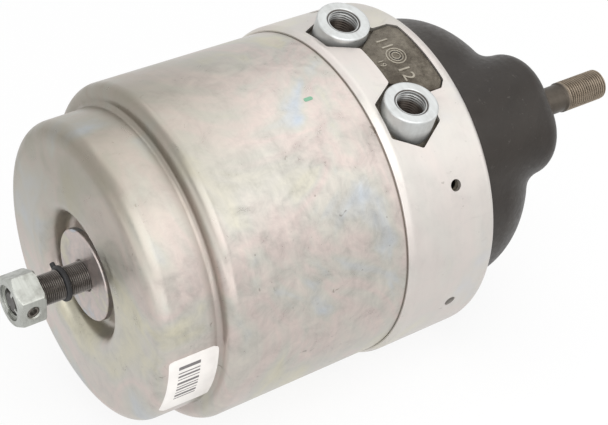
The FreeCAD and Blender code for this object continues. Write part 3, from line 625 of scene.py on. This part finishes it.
def cylinderPath(s):
    # outer skin from the open end to the hole for the bush, then the inner skin back, one sheet further in
    right = stations("spring_cylinder")[1]
    sheet, radius, shoulder, recess = (s[key] for key in ("sheet", "radius", "shoulder", "recess"))
    end, floor, hole, rimRounding = (s[key] for key in ("capEnd", "floor", "hole", "rimRounding"))
    cap = s["capRadius"]
    peak = end - s["rise"]
    rim = recess + s["rimWidth"]
    edge = cap - s["capTaper"]
    return roundedPath([
        (right, radius, 0), (shoulder, radius, s["shoulderRounding"]), (shoulder, cap, s["footRounding"]),
        (end, edge, s["capRounding"]), (peak, rim, s["domeRounding"]), (peak, recess, rimRounding),
        (floor, recess, s["floorRounding"]), (floor, hole, 0), (floor + sheet, hole, 0),
        (floor + sheet, recess + sheet, s["innerFloor"]), (peak + sheet, recess + sheet, rimRounding - sheet),
        (peak + sheet, rim, s["innerDome"]), (end + sheet, edge - sheet, s["capRounding"] - sheet),
        (shoulder + sheet, cap - sheet, s["footRounding"] + sheet),
        (shoulder + sheet, radius - sheet, s["shoulderRounding"] - sheet), (right, radius - sheet, 0),
    ], turnStep=5.0)


cylinderOutline = cylinderPath(cylinder)
cylinderMesh = gridMesh("springCylinder", spin(cylinderOutline, cylinder["around"]))
addPiece("springCylinder", cylinderMesh, "chamber", zinc, "cylinder_zinc", "spring_cylinder")
print("spring cylinder made")


# Plain sticker with bars and a dash of green paint, laid on the cylinder; bars are (angle, width) in degrees
sticker = {"x": (-237.4, -211.9), "angle": (-175.4, -144.6), "corner": 2.6, "lift": (0.02, 0.16),
           "steps": (24, 40), "barX": (-232.6, -221.2), "barCorner": 0.01, "barLift": (0.11, 0.20),
           "barSteps": (24, 4), "bars": [(-171.6, 1.5), (-168.6, 0.5), (-167.1, 0.9), (-165.2, 0.4),
                                         (-163.5, 1.2), (-161.2, 0.5), (-159.8, 0.9), (-157.6, 0.4),
                                         (-156.1, 1.3), (-153.8, 0.6)]}
paintDash = {"x": (-136.4, -131.6), "angle": (113.9, 115.3), "corner": 0.8, "lift": (0.02, 0.09),
             "steps": (24, 12)}


def laidSheet(name, x, angle, corner, lift, steps):
    # thin sheet over the cylinder's outline between two stations and angles, corners drawn in by a circle
    first = int(np.argmin(cylinderOutline[:, 0])) + 1
    outerX, outerR = cylinderOutline[:first, 0][::-1], cylinderOutline[:first, 1][::-1]
    a = np.radians(np.linspace(angle[0], angle[1], steps[1]))
    edge = np.minimum(a - a[0], a[-1] - a) * float(np.interp(sum(x) / 2, outerX, outerR))
    inset = corner - np.sqrt(np.maximum(corner ** 2 - np.maximum(corner - edge, 0) ** 2, 0))
    share = np.linspace(0, 1, steps[0])[:, None]
    u = (x[0] + inset) * (1 - share) + (x[1] - inset) * share
    r = np.interp(u, outerX, outerR)
    skins = [ringPoints(u, r + lift[1], a), ringPoints(u, r + lift[0], a)[::-1]]
    return gridMesh(name, np.concatenate(skins), closedCols=False)


def cylinderSticker(s):
    paper = laidSheet("sticker", s["x"], s["angle"], s["corner"], s["lift"], s["steps"])
    addPiece("sticker", paper, "chamber", labelPaper, "plastic")
    bars = [laidSheet("bar", s["barX"], (a, a + wide), s["barCorner"], s["barLift"], s["barSteps"])
            for a, wide in s["bars"]]
    addPiece("stickerBars", joinMeshes("stickerBars", bars), "chamber", labelInk, "plastic")


cylinderSticker(sticker)
addPiece("paintDash", laidSheet("paintDash", **paintDash), "chamber", greenPaint, "plastic")
print("sticker made")


def overPorts(x, offset, height):
    # station, offset to the side and height in the ports' own frame
    axis = np.stack([x, 0 * x, 0 * x], axis=-1)
    return axis + np.asarray(offset)[..., None] * portSide + np.asarray(height)[..., None] * portUp


# Clamp band with its cut-out and vent holes; the cut-out mirrors (station, offset) points
band = {"radius": 88.4, "sheet": 2.3, "rounding": 5.0, "lipRadius": 78.6, "lipRounding": 1.0,
        "rightInset": 6.1, "edgeRadius": 86.9, "edgeLength": 2.8, "edgeRounding": 0.2, "slopeRounding": 5.0,
        "around": 320, "ventRadius": 3.0, "ventX": -79.4, "vents": 7, "ventStep": 45.0, "ventShift": 0.9,
        "ventFrom": 80.4, "ventDepth": 12.0, "cornerRounding": 1.4, "windowHeights": (40.0, 110.0),
        "window": [(-91.9, 12.3), (-105.8, 20.6), (-105.8, 38.0), (-91.0, 46.2), (-76.4, 37.6), (-76.3, 23.6),
                   (-66.9, 23.5), (-63.4, 19.8)]}


def ventCutters(s):
    # one rod for each vent, round the band from the ports
    rod = [(0, 0, 0), (0, s["ventRadius"], 0), (s["ventDepth"], s["ventRadius"], 0), (s["ventDepth"], 0, 0)]
    cutters = []
    for i in range(1, s["vents"] + 1):
        way = across(portAngle + s["ventShift"] + s["ventStep"] * i)
        base = np.array((s["ventX"], 0, 0)) + way * s["ventFrom"]
        cutters.append(turnedMesh("vent", rod, 32, place=lambda grid: turnedTo(grid, base, way)))
    return cutters


def clampBand(s):
    # turned sheet section: plain edge at the left, a lip turned in at the right; then the holes are cut
    left, right = stations("clamp_band")
    right -= s["rightInset"]
    radius, sheet, rounding = (s[key] for key in ("radius", "sheet", "rounding"))
    lip, fold = s["lipRadius"], s["lipRounding"]
    mesh = turnedMesh("clampBand", [
        (left, radius - sheet, 0), (left, s["edgeRadius"], s["edgeRounding"]),
        (left + s["edgeLength"], radius, s["slopeRounding"]), (right, radius, rounding), (right, lip, fold),
        (right - sheet, lip, fold), (right - sheet, radius - sheet, rounding - sheet),
    ], s["around"], closed=True, turnStep=8.0)
    corners = [(x, y, s["cornerRounding"]) for x, y in s["window"]]
    corners += [(x, -y, s["cornerRounding"]) for x, y in reversed(s["window"])]
    outline = roundedPath(corners, turnStep=15.0, guard=50.0)
    window = gridMesh("window", prism(outline, *s["windowHeights"], overPorts), closedRows=False)
    mesh = cutAway(mesh, [window] + ventCutters(s))
    addPiece("clampBand", mesh, "chamber", bandSteel, "band_steel", "clamp_band")


clampBand(band)
print("clamp band made")


# Port inserts with real threads
port = {"radius": 13.45, "core": 7.25, "major": 8.0, "mouth": 8.75, "pitch": 1.5, "pointsPerTurn": 7.0,
        "edge": 1.0, "footEdge": 0.4, "mouthEdge": 0.15, "runOut": (1.0, 0.2), "face": 90.4, "foot": 67.52,
        "around": 72}


def portInsert(s, name, node, mount):
    # turned sleeve: chamfered mouth, then a bore whose points are close enough for the thread
    height = s["face"] - s["foot"]
    threadTop = height - (s["mouth"] - s["major"])
    bore = [(threadTop - t, s["core"], 0) for t in np.arange(0.0, threadTop, s["pitch"] / s["pointsPerTurn"])]
    corners = [(0, s["core"], 0), (0, s["radius"], s["footEdge"]), (height, s["radius"], s["edge"]),
               (height, s["mouth"], s["mouthEdge"]), (threadTop, s["major"], 0)] + bore
    start, end = s["runOut"]
    wave = threadWave(start, threadTop - end, s["pitch"], s["major"] - s["core"], s["core"], outside=False)
    place = portPlace[mount]
    base = place - portUp * (place @ portUp) + portUp * s["foot"]
    mesh = turnedMesh(name, corners, s["around"], closed=True, turnStep=12.0, wave=wave,
                      place=lambda grid: turnedTo(grid, base, portUp), sharp=26.0)
    addPiece(name, mesh, "chamber", portZinc, "port_zinc", node)


portInsert(port, "servicePort", "service_port_insert", "service_port")
portInsert(port, "springPort", "spring_port_insert", "spring_port")
print("ports made")


# Raised pad of the casting between the ports, with plain port numbers and three circles;
# circles are (radius, half width), numbers are (text, station, offset, height)
pad = {"radius": 87.75, "depth": 2.6, "edgeDrop": (0.12, 0.45),
       "outline": [(-91.3, 12.2, 2.2), (-75.9, 22.5, 0.8), (-67.2, 23.1, 1.6), (-63.8, 19.4, 2.6),
                   (-63.8, -19.4, 2.6), (-67.2, -23.1, 1.6), (-75.9, -22.5, 0.8), (-91.3, -12.2, 2.2)],
       "ringPlace": (-77.8, 1.4), "circles": [(5.0, 0.36), (3.5, 0.30), (2.1, 0.30)], "raise": 0.32,
       "arcStarts": (15.0, 195.0), "arcSweep": 120.0, "arcRadii": (2.45, 3.10), "arcLift": (-0.05, 0.04),
       "fontSize": 1.38,
       "numbers": [("11", -78.4, 10.8, 7.0), ("12", -79.6, -9.9, 6.8), ("19", -88.0, -0.6, 3.5)]}


def onPad(x, offset, lift, radius):
    # a point over the ports' plane, laid on a round surface of the given radius
    return overPorts(x, offset, np.sqrt(np.maximum((radius + lift) ** 2 - offset ** 2, 0)))


def castingPad(s):
    # rings of the outline shrink towards its middle; the two outermost drop to round the edge
    outline = roundedPath(s["outline"], turnStep=12.0, guard=1.0)
    ahead = np.roll(outline, -1, axis=0)
    outline = np.vstack([np.linspace(here, after, 9)[:-1] for here, after in zip(outline, ahead)])
    middle = outline.mean(axis=0)
    shrink = np.concatenate([np.linspace(0.0, 0.97, 14), [0.985, 1.0]])[:, None, None]
    flat = middle + (outline[None] - middle) * shrink
    lift = np.zeros(flat.shape[:2])
    lift[-2:] = -np.array(s["edgeDrop"])[:, None]
    top = onPad(flat[..., 0], flat[..., 1], lift, s["radius"])
    side = onPad(outline[:, 0], outline[:, 1], -s["depth"], s["radius"])[None]
    floor = onPad(flat[::-1][..., 0], flat[::-1][..., 1], -s["depth"], s["radius"])
    mesh = gridMesh("castingPad", np.concatenate([top, side, floor]), closedRows=False)
    addPiece("castingPad", mesh, "chamber", castDark, "casting")


def roundPlace(s, r, t):
    # radius r and angle t about the middle of the circles
    return s["ringPlace"][0] + r * np.cos(t), s["ringPlace"][1] + r * np.sin(t)


def padCircles(s):
    # raised circles with a round section: width cos a across, raise sin a up
    t = np.linspace(0, 2 * np.pi, 64, endpoint=False)
    a = np.linspace(0, 2 * np.pi, 10, endpoint=False)[:, None]
    pieces = []
    for radius, width in s["circles"]:
        x, y = roundPlace(s, radius + width * np.cos(a), t)
        pieces.append(gridMesh("ring", onPad(x, y, s["raise"] * np.sin(a) + 0 * t, s["radius"])))
    return pieces


def padShadeArcs(s):
    # painted shade: dark arcs with a flat section between the inner circles, standing for the shade of
    # recessed crescents
    meshes = []
    for start in s["arcStarts"]:
        t = np.radians(np.linspace(start, start + s["arcSweep"], 24))[None, :]
        x, y = roundPlace(s, np.array(s["arcRadii"])[:, None], t)
        low, high = (onPad(x, y, lift, s["radius"]) for lift in s["arcLift"])
        meshes.append(gridMesh("arc", np.stack([low[0], low[1], high[1], high[0]]), closedCols=False))
    return meshes


def padNumber(s, text, x, offset, height):
    # plain numerals, made a mesh, then laid on the pad
    curve = bpy.data.curves.new("number", "FONT")
    curve.body = text
    curve.align_x = "CENTER"
    curve.align_y = "CENTER"
    curve.size = height * s["fontSize"]
    curve.extrude = s["raise"]
    curve.resolution_u = 3
    thing = looseObject("number", curve)
    mesh = finishedCopy(thing)
    bpy.data.objects.remove(thing, do_unlink=True)
    co = np.empty(len(mesh.vertices) * 3, np.float32)
    mesh.vertices.foreach_get("co", co)
    co = co.reshape(-1, 3)
    placed = onPad(x + co[:, 1], offset - co[:, 0], co[:, 2], s["radius"])
    mesh.vertices.foreach_set("co", (placed * mm).astype(np.float32).ravel())
    mesh.update()
    return mesh


castingPad(pad)
marks = padCircles(pad) + [padNumber(pad, *number) for number in pad["numbers"]]
addPiece("padMarks", joinMeshes("padMarks", marks), "chamber", castRubbed, "casting")
addPiece("padShadeArcs", joinMeshes("padShadeArcs", padShadeArcs(pad)), "chamber", castShadow, "casting")
print("casting pad made")


# Service housing: dome and ears as one smooth surface
housing = {"lipRadius": 85.85, "radius": 74.5, "smallRadius": 73.3, "rootX": -60.0, "domeX": -36.5,
           "frontX": -4.4, "domeRounding": 32.3, "wall": 4.2, "innerFace": -9.0, "innerRounding": 27.8,
           "mouth": 71.5, "earLength": 81.2, "earWidth": 32.5, "earCorner": 27.0, "earEdge": 10.0,
           "earFlare": 0.17, "cornerFlare": 0.3, "blend": 4.5, "opening": 21.0, "seat": 26.0,
           "seatDepth": 5.0, "centreX": -46.0, "rays": (5.0, 130.0), "halvings": 34, "rows": 150,
           "around": 360, "studHole": 9.03, "holeX": (-15.0, 6.0), "footX": -58.0, "footRadius": 76.85,
           "ledgeRadius": 83.2, "lipWidth": 1.1, "neckX": -55.6, "neckRadius": 78.3, "sharp": 38.0}


def housingDistance(s, p):
    # signed distance to the outside: smooth union of a rounded cone frustum and a flared, rounded bar
    x, y, z = p[..., 0], p[..., 1], p[..., 2]
    r = np.hypot(y, z)
    slope = (s["radius"] - s["smallRadius"]) / (s["domeX"] - s["rootX"])
    wall = s["radius"] - slope * (x - s["rootX"])
    e = s["domeRounding"]
    qx = x - (s["frontX"] - e)
    qr = r - (wall - e)
    dome = np.minimum(np.maximum(qx, qr), 0) + np.hypot(np.maximum(qx, 0), np.maximum(qr, 0)) - e
    a = y * studLine[1] + z * studLine[2]
    b = y * studAcross[1] + z * studAcross[2]
    down = np.maximum(-x - s["earEdge"], 0)
    corner = s["earCorner"] + s["cornerFlare"] * down
    qa = np.abs(a) - (s["earLength"] - corner)
    qb = np.abs(b) - (s["earWidth"] + s["earFlare"] * down - corner)
    flat = np.minimum(np.maximum(qa, qb), 0) + np.hypot(np.maximum(qa, 0), np.maximum(qb, 0)) - corner
    flat = flat / math.hypot(1, s["earFlare"])
    edge = s["earEdge"]
    ux = np.maximum(x + edge, 0)
    uf = np.maximum(flat + edge, 0)
    bar = np.minimum(np.maximum(x, flat) + edge, 0) + np.hypot(ux, uf) - edge
    k = s["blend"]
    h = np.maximum(k - np.abs(dome - bar), 0) / k
    joined = np.minimum(dome, bar) - h * h * k * 0.25
    neck = np.minimum(r - s["neckRadius"], s["neckX"] - x)  # room for the clamp band's edge
    return np.maximum(np.maximum(joined, x), neck)


def housingSkin(s):
    # rays from a point inside meet the outside once; bisection finds where
    t = np.linspace(0, 2 * np.pi, s["around"], endpoint=False)
    rimAngle = math.atan2(s["seat"], -s["centreX"])
    footAngle = math.atan2(s["footRadius"], s["footX"] - s["centreX"])
    v = np.linspace(rimAngle, footAngle, s["rows"])[:, None]
    way = ringPoints(np.cos(v), np.sin(v), t)
    start = np.array((s["centreX"], 0, 0))
    low, high = (np.full(way.shape[:2], ray) for ray in s["rays"])
    for _ in range(s["halvings"]):
        middle = (low + high) / 2
        inside = housingDistance(s, start + way * middle[..., None]) < 0
        low = np.where(inside, middle, low)
        high = np.where(inside, high, middle)
    skin = start + way * low[..., None]
    skin[0] = ringPoints(0.0, s["seat"], t)
    return skin, t


def serviceHousing(s):
    # the skin, then its foot, lip, inner wall and gaiter seat as turned rows; the stud holes are cut last
    left = stations("service_housing")[0]
    lipRight = left + s["lipWidth"]
    skin, t = housingSkin(s)
    foot = skin[-1].copy()
    outside = np.hypot(foot[:, 1], foot[:, 2])
    foot[:, 0] = lipRight
    foot[:, 1:] *= (np.minimum(outside, s["ledgeRadius"]) / outside)[:, None]
    skin[..., 0] = np.where(skin[..., 0] > lipRight + 0.3, skin[..., 0], lipRight + 0.02)
    seat, seatX, face, opening = s["seat"], -s["seatDepth"], s["innerFace"], s["opening"]
    inner = s["smallRadius"] - s["wall"]
    lip = roundedPath([
        (lipRight, s["ledgeRadius"] + 0.4, 0), (lipRight, s["lipRadius"], 1.2), (left, s["lipRadius"], 0.6),
        (left, s["mouth"], 0), (s["domeX"], inner, 0), (face, inner, s["innerRounding"]),
        (face, opening, 0.4), (seatX, opening, 0), (seatX, seat, 0), (-0.1, seat, 0),
    ], closed=False)
    rows = [skin, foot[None]] + [ringPoints(x, r, t)[None] for x, r in lip]
    mesh = gridMesh("serviceHousing", np.concatenate(rows), sharp=s["sharp"])
    first, last = s["holeX"]
    hole = [(first, 0, 0), (first, s["studHole"], 0), (last, s["studHole"], 0), (last, 0, 0)]
    cutters = [turnedMesh("studHole", hole, 40, place=lambda grid: grid + place * squareToAxis)
               for place in studPlaces.values()]
    mesh = cutAway(mesh, cutters, s["sharp"])
    addPiece("serviceHousing", mesh, "chamber", housingPaint, "housing_black", "service_housing")


serviceHousing(housing)
print("service housing made")


# Mounting studs with real threads
stud = {"radius": 8.0, "core": 7.05, "pitch": 1.5, "depth": 0.92, "pointsPerTurn": 8.0, "threadFrom": 19.5,
        "around": 64, "chamfer": 1.8, "shank": 9.0, "shankChamfer": 0.9, "waist": 7.35, "waistFrom": 1.4}


def mountingStud(s, name, node):
    # turned bolt: shank in the ear, waist, thread and chamfered end
    left, right = stations(node)
    radius, waist, shank, cut = (s[key] for key in ("radius", "waist", "shank", "shankChamfer"))
    start, tip = s["threadFrom"], right - s["chamfer"]
    corners = [(left, 0, 0), (left, shank - cut, 0), (left + cut, shank, 0.2), (-0.2, shank, 0.1),
               (0.4, radius, 0.2), (s["waistFrom"], waist, 0.3), (start - 1.8, waist, 0.3),
               (start - 1.0, radius, 0.2)]
    corners += [(x, radius, 0) for x in np.arange(start, tip, s["pitch"] / s["pointsPerTurn"])]
    corners += [(tip, radius, 0), (right, s["core"] - 1.0, 1.2), (right, 0, 0)]
    wave = threadWave(start - 0.2, right - 0.6, s["pitch"], s["depth"], radius)
    mesh = turnedMesh(name, corners, s["around"], turnStep=15.0, wave=wave, sharp=30.0,
                      place=lambda grid: grid + studPlaces[node] * squareToAxis)
    addPiece(name, mesh, "chamber", bronzePlate, "stud_bronze", node)


mountingStud(stud, "upperStud", "upper_mounting_stud")
mountingStud(stud, "lowerStud", "lower_mounting_stud")
print("studs made")


# Release spindle, thread cut over the part that ever passes the bush
spindle = {"radius": 7.5, "core": 6.8, "pitch": 1.0, "depth": 0.58, "pointsPerTurn": 8.0, "threadTo": -183.0,
           "around": 60, "end": 5.2, "endLength": 1.5, "endChamfer": 0.5, "gap": 0.1}


def releaseSpindle(s):
    # turned rod with a stepped end, grooves for the stop ring and the washer, and a fine thread
    left, right = stations("release_spindle")
    hexRight = stations("release_hexagon")[1]
    ringLeft, ringRight = stations("spindle_stop_ring")
    radius, core, end, cut, gap = (s[key] for key in ("radius", "core", "end", "endChamfer", "gap"))
    washer = stations("thrust_washer")[0] - gap
    shoulder = left + s["endLength"]
    step = s["pitch"] / s["pointsPerTurn"]
    zones = [(hexRight + 0.4, ringLeft - 0.2), (ringRight + 0.4, s["threadTo"])]
    before, after = ([(x, radius, 0) for x in np.arange(*zone, step)] for zone in zones)
    corners = [(left, 0, 0), (left, end - cut, 0), (left + cut, end, 0.1), (shoulder, end, 0.2),
               (shoulder, core, 0.1), (hexRight, core, 0), (hexRight, radius, 0)] + before
    corners += [(ringLeft - gap, radius, 0), (ringLeft - gap, core, 0), (ringRight + gap, core, 0),
                (ringRight + gap, radius, 0)] + after
    corners += [(washer, radius, 0), (washer, core, 0), (right, core, 0.5), (right, 0, 0)]
    wave = threadWave(hexRight - 1.0, s["threadTo"] - 0.2, s["pitch"], s["depth"], radius)
    mesh = turnedMesh("releaseSpindle", corners, s["around"], turnStep=18.0, wave=wave, sharp=30.0)
    addPiece("releaseSpindle", mesh, "spindle", spindleSteel, "dark_steel", "release_spindle")


releaseSpindle(spindle)
print("release spindle made")


# Hexagon on the spindle's end
hexagon = {"flats": 24.0, "pinAngle": 187.2, "chamfer": 1.9, "bore": 6.83, "counterbore": 8.8,
           "counterDepth": 1.5, "pinX": -272.1, "pinHole": 3.03, "pinRim": 3.65, "rimDepth": 0.6,
           "pinReach": (9.0, 14.0), "columns": 192, "sharp": 18.0, "stakes": (120.0, 190.0, 300.0),
           "stakeWidth": 14.0, "stakeRounding": 0.2}


def releaseHexagon(s):
    # radius at angle a: half the flats over cos of the angle from the nearest flat, inside two chamfer cones
    left, right = stations("release_hexagon")
    half = s["flats"] / 2
    corner = half / math.cos(math.pi / 6)
    a = np.linspace(0, 2 * np.pi, s["columns"], endpoint=False)[None, :]
    flatAngle = (a - math.radians(s["pinAngle"]) + np.pi / 6) % (np.pi / 3) - np.pi / 6
    x = np.concatenate([[left], left + np.linspace(0.05, s["chamfer"], 6),
                        np.linspace(left + 2.3, right - 1.3, 4), right - np.linspace(1.1, 0.0, 6)])[:, None]
    frontCone = half - 0.5 + (x - left) * (corner + 0.6 - half) / s["chamfer"]
    cones = np.minimum(frontCone, corner - 0.7 + (right - x) * 0.8)
    skin = ringPoints(x, np.minimum(half / np.cos(flatAngle), cones), a)
    step = left + s["counterDepth"]
    inner = roundedPath([(right, s["bore"], 0), (step, s["bore"], 0), (step, s["counterbore"], 0.3),
                         (left, s["counterbore"] + 0.2, 0)], closed=False)
    mesh = gridMesh("releaseHexagon", np.concatenate([skin, spin(inner, s["columns"])]), sharp=s["sharp"])
    first, last = s["pinReach"]
    hole = [(first, 0, 0), (first, s["pinHole"], 0), (half - s["rimDepth"], s["pinHole"], 0),
            (half + 0.05, s["pinRim"], 0), (last, s["pinRim"] + 0.1, 0), (last, 0, 0)]
    base, way = (s["pinX"], 0, 0), across(s["pinAngle"])
    cutters = [turnedMesh("pinHole", hole, 36, place=lambda grid: turnedTo(grid, base, way * side))
               for side in (1, -1)]
    mesh = cutAway(mesh, cutters, s["sharp"])
    addPiece("releaseHexagon", mesh, "spindle", brightSteel, "bright_steel", "release_hexagon")


def stakedBridges(s, inside):
    # three bridges punched across the groove between the hexagon and the spindle's end:
    # a square section carried round a short arc, tapered towards both ends
    left = stations("release_hexagon")[0]
    outside = s["counterbore"] + 0.5
    near, far = left + 0.05, left + s["counterDepth"] + 0.1
    corners = [(left + 0.25, inside - 0.2), (near, outside), (far, outside), (far, inside - 0.2)]
    section = roundedPath([(*corner, s["stakeRounding"]) for corner in corners], turnStep=30.0)
    middle = section.mean(axis=0)
    taper = np.sqrt(np.maximum(1 - np.linspace(-1, 1, 12) ** 6, 0.0))[None, :]
    x = middle[0] + (section[:, :1] - middle[0]) * taper
    r = middle[1] + (section[:, 1:] - middle[1]) * (0.15 + 0.85 * taper)
    swing = s["stakeWidth"] / 2 * np.sin(np.linspace(-np.pi / 2, np.pi / 2, 12))[None, :]
    meshes = [gridMesh("stake", ringPoints(x, r, np.radians(angle + swing)), closedCols=False)
              for angle in s["stakes"]]
    addPiece("stakedBridges", joinMeshes("stakedBridges", meshes), "spindle", brightSteel, "bright_steel")


releaseHexagon(hexagon)
stakedBridges(hexagon, spindle["end"])


# Slotted spring pin through the hexagon
crossPin = {"radius": 3.0, "bore": 1.8, "half": 11.6, "gap": 26.0, "edge": 0.5, "boreEdge": 0.3}


def springPin(s, place):
    # rolled sheet: a flat ring section carried round all but the gap
    half = s["half"]
    section = roundedPath([(-half, s["bore"], s["boreEdge"]), (-half, s["radius"], s["edge"]),
                           (half, s["radius"], s["edge"]), (half, s["bore"], s["boreEdge"])], turnStep=20.0)
    a = np.radians(np.linspace(s["gap"] / 2, 360.0 - s["gap"] / 2, 40))[None, :]
    rolled = ringPoints(section[:, :1], section[:, 1:], a)
    rolled = turnedTo(rolled, (place["pinX"], 0, 0), across(place["pinAngle"]))
    mesh = gridMesh("crossPin", rolled, closedCols=False)
    addPiece("crossPin", mesh, "spindle", darkSteel, "dark_steel", "hexagon_cross_pin")


springPin(crossPin, hexagon)


# Stop ring with its lug
stopRing = {"core": 6.82, "radius": 9.0, "coreEdge": 0.2, "edge": 0.9, "lugAngle": 36.0, "lugRadius": 1.3,
            "lugFoot": 8.32, "lugReach": 11.4, "lugEdge": 0.6}


def spindleRing(s):
    # turned ring, and a round peg that stands on it
    left, right = stations("spindle_stop_ring")
    core, radius = s["core"], s["radius"]
    foot, peg, reach = s["lugFoot"], s["lugRadius"], s["lugReach"]
    ring = [(left, core, s["coreEdge"]), (left, radius, s["edge"]), (right, radius, s["edge"]),
            (right, core, s["coreEdge"])]
    lug = [(foot, 0, 0), (foot, peg, 0), (reach, peg, s["lugEdge"]), (reach, 0, 0)]
    middle = ((left + right) / 2, 0, 0)
    parts = [turnedMesh("ring", ring, 72, closed=True, turnStep=15.0),
             turnedMesh("lug", lug, 24, turnStep=15.0,
                        place=lambda grid: turnedTo(grid, middle, across(s["lugAngle"])))]
    addPiece("stopRing", joinMeshes("stopRing", parts), "spindle", rubber, "dark_steel", "spindle_stop_ring")


spindleRing(stopRing)
print("hexagon, pin and stop ring made")


# Release bush
bush = {"bore": 7.55, "chamfer": 0.9, "disc": 23.4, "thickness": 3.6, "stem": 13.0, "collar": 17.0,
        "neck": 16.0}


def releaseBush(s):
    # turned flanged bush: disc in the recess, stem through the cylinder's end
    left, right = stations("release_bush")
    floor, back = cylinder["floor"], left + s["thickness"]
    bore, cut, disc, stem = (s[key] for key in ("bore", "chamfer", "disc", "stem"))
    corners = [(left, bore + cut, 0.2), (left, disc, 0.9), (back, disc, 0.5), (back, s["collar"], 2.0),
               (floor, s["neck"], 0), (floor, stem, 0), (right, stem, 1.5), (right, bore, 0),
               (left + cut, bore, 0.2)]
    mesh = turnedMesh("releaseBush", corners, 120, closed=True, turnStep=12.0)
    addPiece("releaseBush", mesh, "chamber", bushZinc, "bright_steel", "release_bush")


releaseBush(bush)
print("release bush made")


# Push rod with its foot on the pressure plate and its round nose
rodEnd = {"radius": 11.0, "foot": 23.0, "footThickness": 3.5, "socket": 17.0, "socketFrom": 6.0,
          "socketLength": 16.0, "noseRounding": 8.0, "collarFrom": 4.0, "collarTo": 8.0, "collarDepth": 0.8}


def pushRod(s):
    # turned rod with a foot, a socket, a groove for the gaiter and a round nose
    left, right = stations("push_rod")
    radius, foot, start, end = (s[key] for key in ("radius", "foot", "collarFrom", "collarTo"))
    groove = radius - s["collarDepth"]
    corners = [(left, 0, 0), (left, foot, 1.0), (left + s["footThickness"], foot, 1.0),
               (left + s["socketFrom"], s["socket"], 2.0), (left + s["socketLength"], radius, 4.0),
               (start, radius, 0), (start, groove, 0), (end, groove, 0), (end, radius, 0),
               (right, radius, s["noseRounding"]), (right, 0, 0)]
    mesh = turnedMesh("pushRod", corners, 96, turnStep=7.0)
    addPiece("pushRod", mesh, "service_rod", brightSteel, "bright_steel", "push_rod")


pushRod(rodEnd)
print("push rod made")


# Plain nodes that keep their CAD shape take a finished surface
nodeFinish = {
    "flange_casting": castDark, "spring_seat_ring": guidePlastic, "power_spring": springPaint,
    "flange_seal_ring": rubber, "plunger_seal": rubber, "plunger_guide_ring": guidePlastic,
    "diaphragm": rubber, "return_spring": springPaint, "push_rod_gaiter": rubber,
    "gaiter_retaining_ring": darkSteel, "spring_piston": castAlloy, "piston_guide_ring": guidePlastic,
    "piston_lip_seal": rubber, "plunger_tube": brightSteel, "plunger_cap": guidePlastic,
    "thrust_washer": brightSteel, "spindle_head": brightSteel, "pressure_plate": brightSteel,
}
for nodeName, finish in nodeFinish.items():
    thing = frame["nodes"][nodeName]
    thing.data.materials.clear()
    thing.data.materials.append(finish)
print("inner nodes finished")


# Floor, backdrop and light; lamps are (name, place, aim, size, power)
studio = {"floorDrop": 0.6, "floorSize": 6.0, "floorColor": gray(0.98), "floorGlow": 0.86, "world": 0.54,
          "lamps": [("keyLamp", (-0.45, -1.25, 1.30), (-0.12, 0, 0), (2.2, 1.6), 20.0),
                    ("topLamp", (0.30, 0.20, 1.60), (-0.10, 0, 0), (2.0, 1.4), 7.0),
                    ("sideLamp", (1.30, -0.90, 0.50), (-0.05, 0, 0), (1.2, 1.2), 4.0),
                    ("endLamp", (-1.60, -0.30, 0.20), (-0.20, 0, 0), (1.4, 1.2), 5.5),
                    ("lowLamp", (-0.75, -1.10, 0.06), (-0.16, 0, -0.02), (1.4, 0.25), 2.2)]}


def seenRay(tree):
    # one for rays that show the background: from the camera, off metal and through glass
    path = tree.nodes.new("ShaderNodeLightPath")
    seen = math2(tree, "MAXIMUM", path.outputs["Is Camera Ray"], path.outputs["Is Glossy Ray"])
    return math2(tree, "MAXIMUM", seen, path.outputs["Is Transmission Ray"])


def whiteForCamera(name, color, glow):
    # a plain surface that the camera and reflections see as white, and that still takes the object's shadow
    material, tree, shader = startMaterial(name, color, 0.0, 0.9, 0.1)
    light = addNode(tree, "Emission", 0, {"Strength": 1.0})
    share = math2(tree, "MULTIPLY", seenRay(tree), glow)
    mix = addNode(tree, "MixShader", 0, {0: share, 1: shader.outputs[0], 2: light})
    tree.links.new(mix, tree.nodes["Material Output"].inputs["Surface"])
    return material


def makeStudio(s):
    low = cadBox[0][2] - s["floorDrop"] * mm
    half = s["floorSize"] / 2
    corners = np.array([[(x, y, low) for x in (-half, half)] for y in (-half, half)]) / mm
    floor = looseObject("floor", gridMesh("floor", corners, closedRows=False, closedCols=False))
    floor.data.materials.append(whiteForCamera("floorWhite", s["floorColor"], s["floorGlow"]))
    world = bpy.data.worlds.new("studioWorld")
    scene.world = world
    world.use_nodes = True
    tree = world.node_tree
    background = tree.nodes["Background"]
    background.inputs["Color"].default_value = (1, 1, 1, 1)
    tree.links.new(spread(tree, seenRay(tree), s["world"], 1.0), background.inputs["Strength"])
    for lamp in s["lamps"]:
        softLamp(*lamp)


def softLamp(name, place, aim, size, power):
    data = bpy.data.lights.new(name, "AREA")
    data.shape = "RECTANGLE"
    data.size, data.size_y = size
    data.energy = power
    lamp = looseObject(name, data)
    way = Vector(aim) - Vector(place)
    lamp.matrix_world = Matrix.Translation(Vector(place)) @ way.to_track_quat("-Z", "Y").to_matrix().to_4x4()


makeStudio(studio)
print("studio ready")
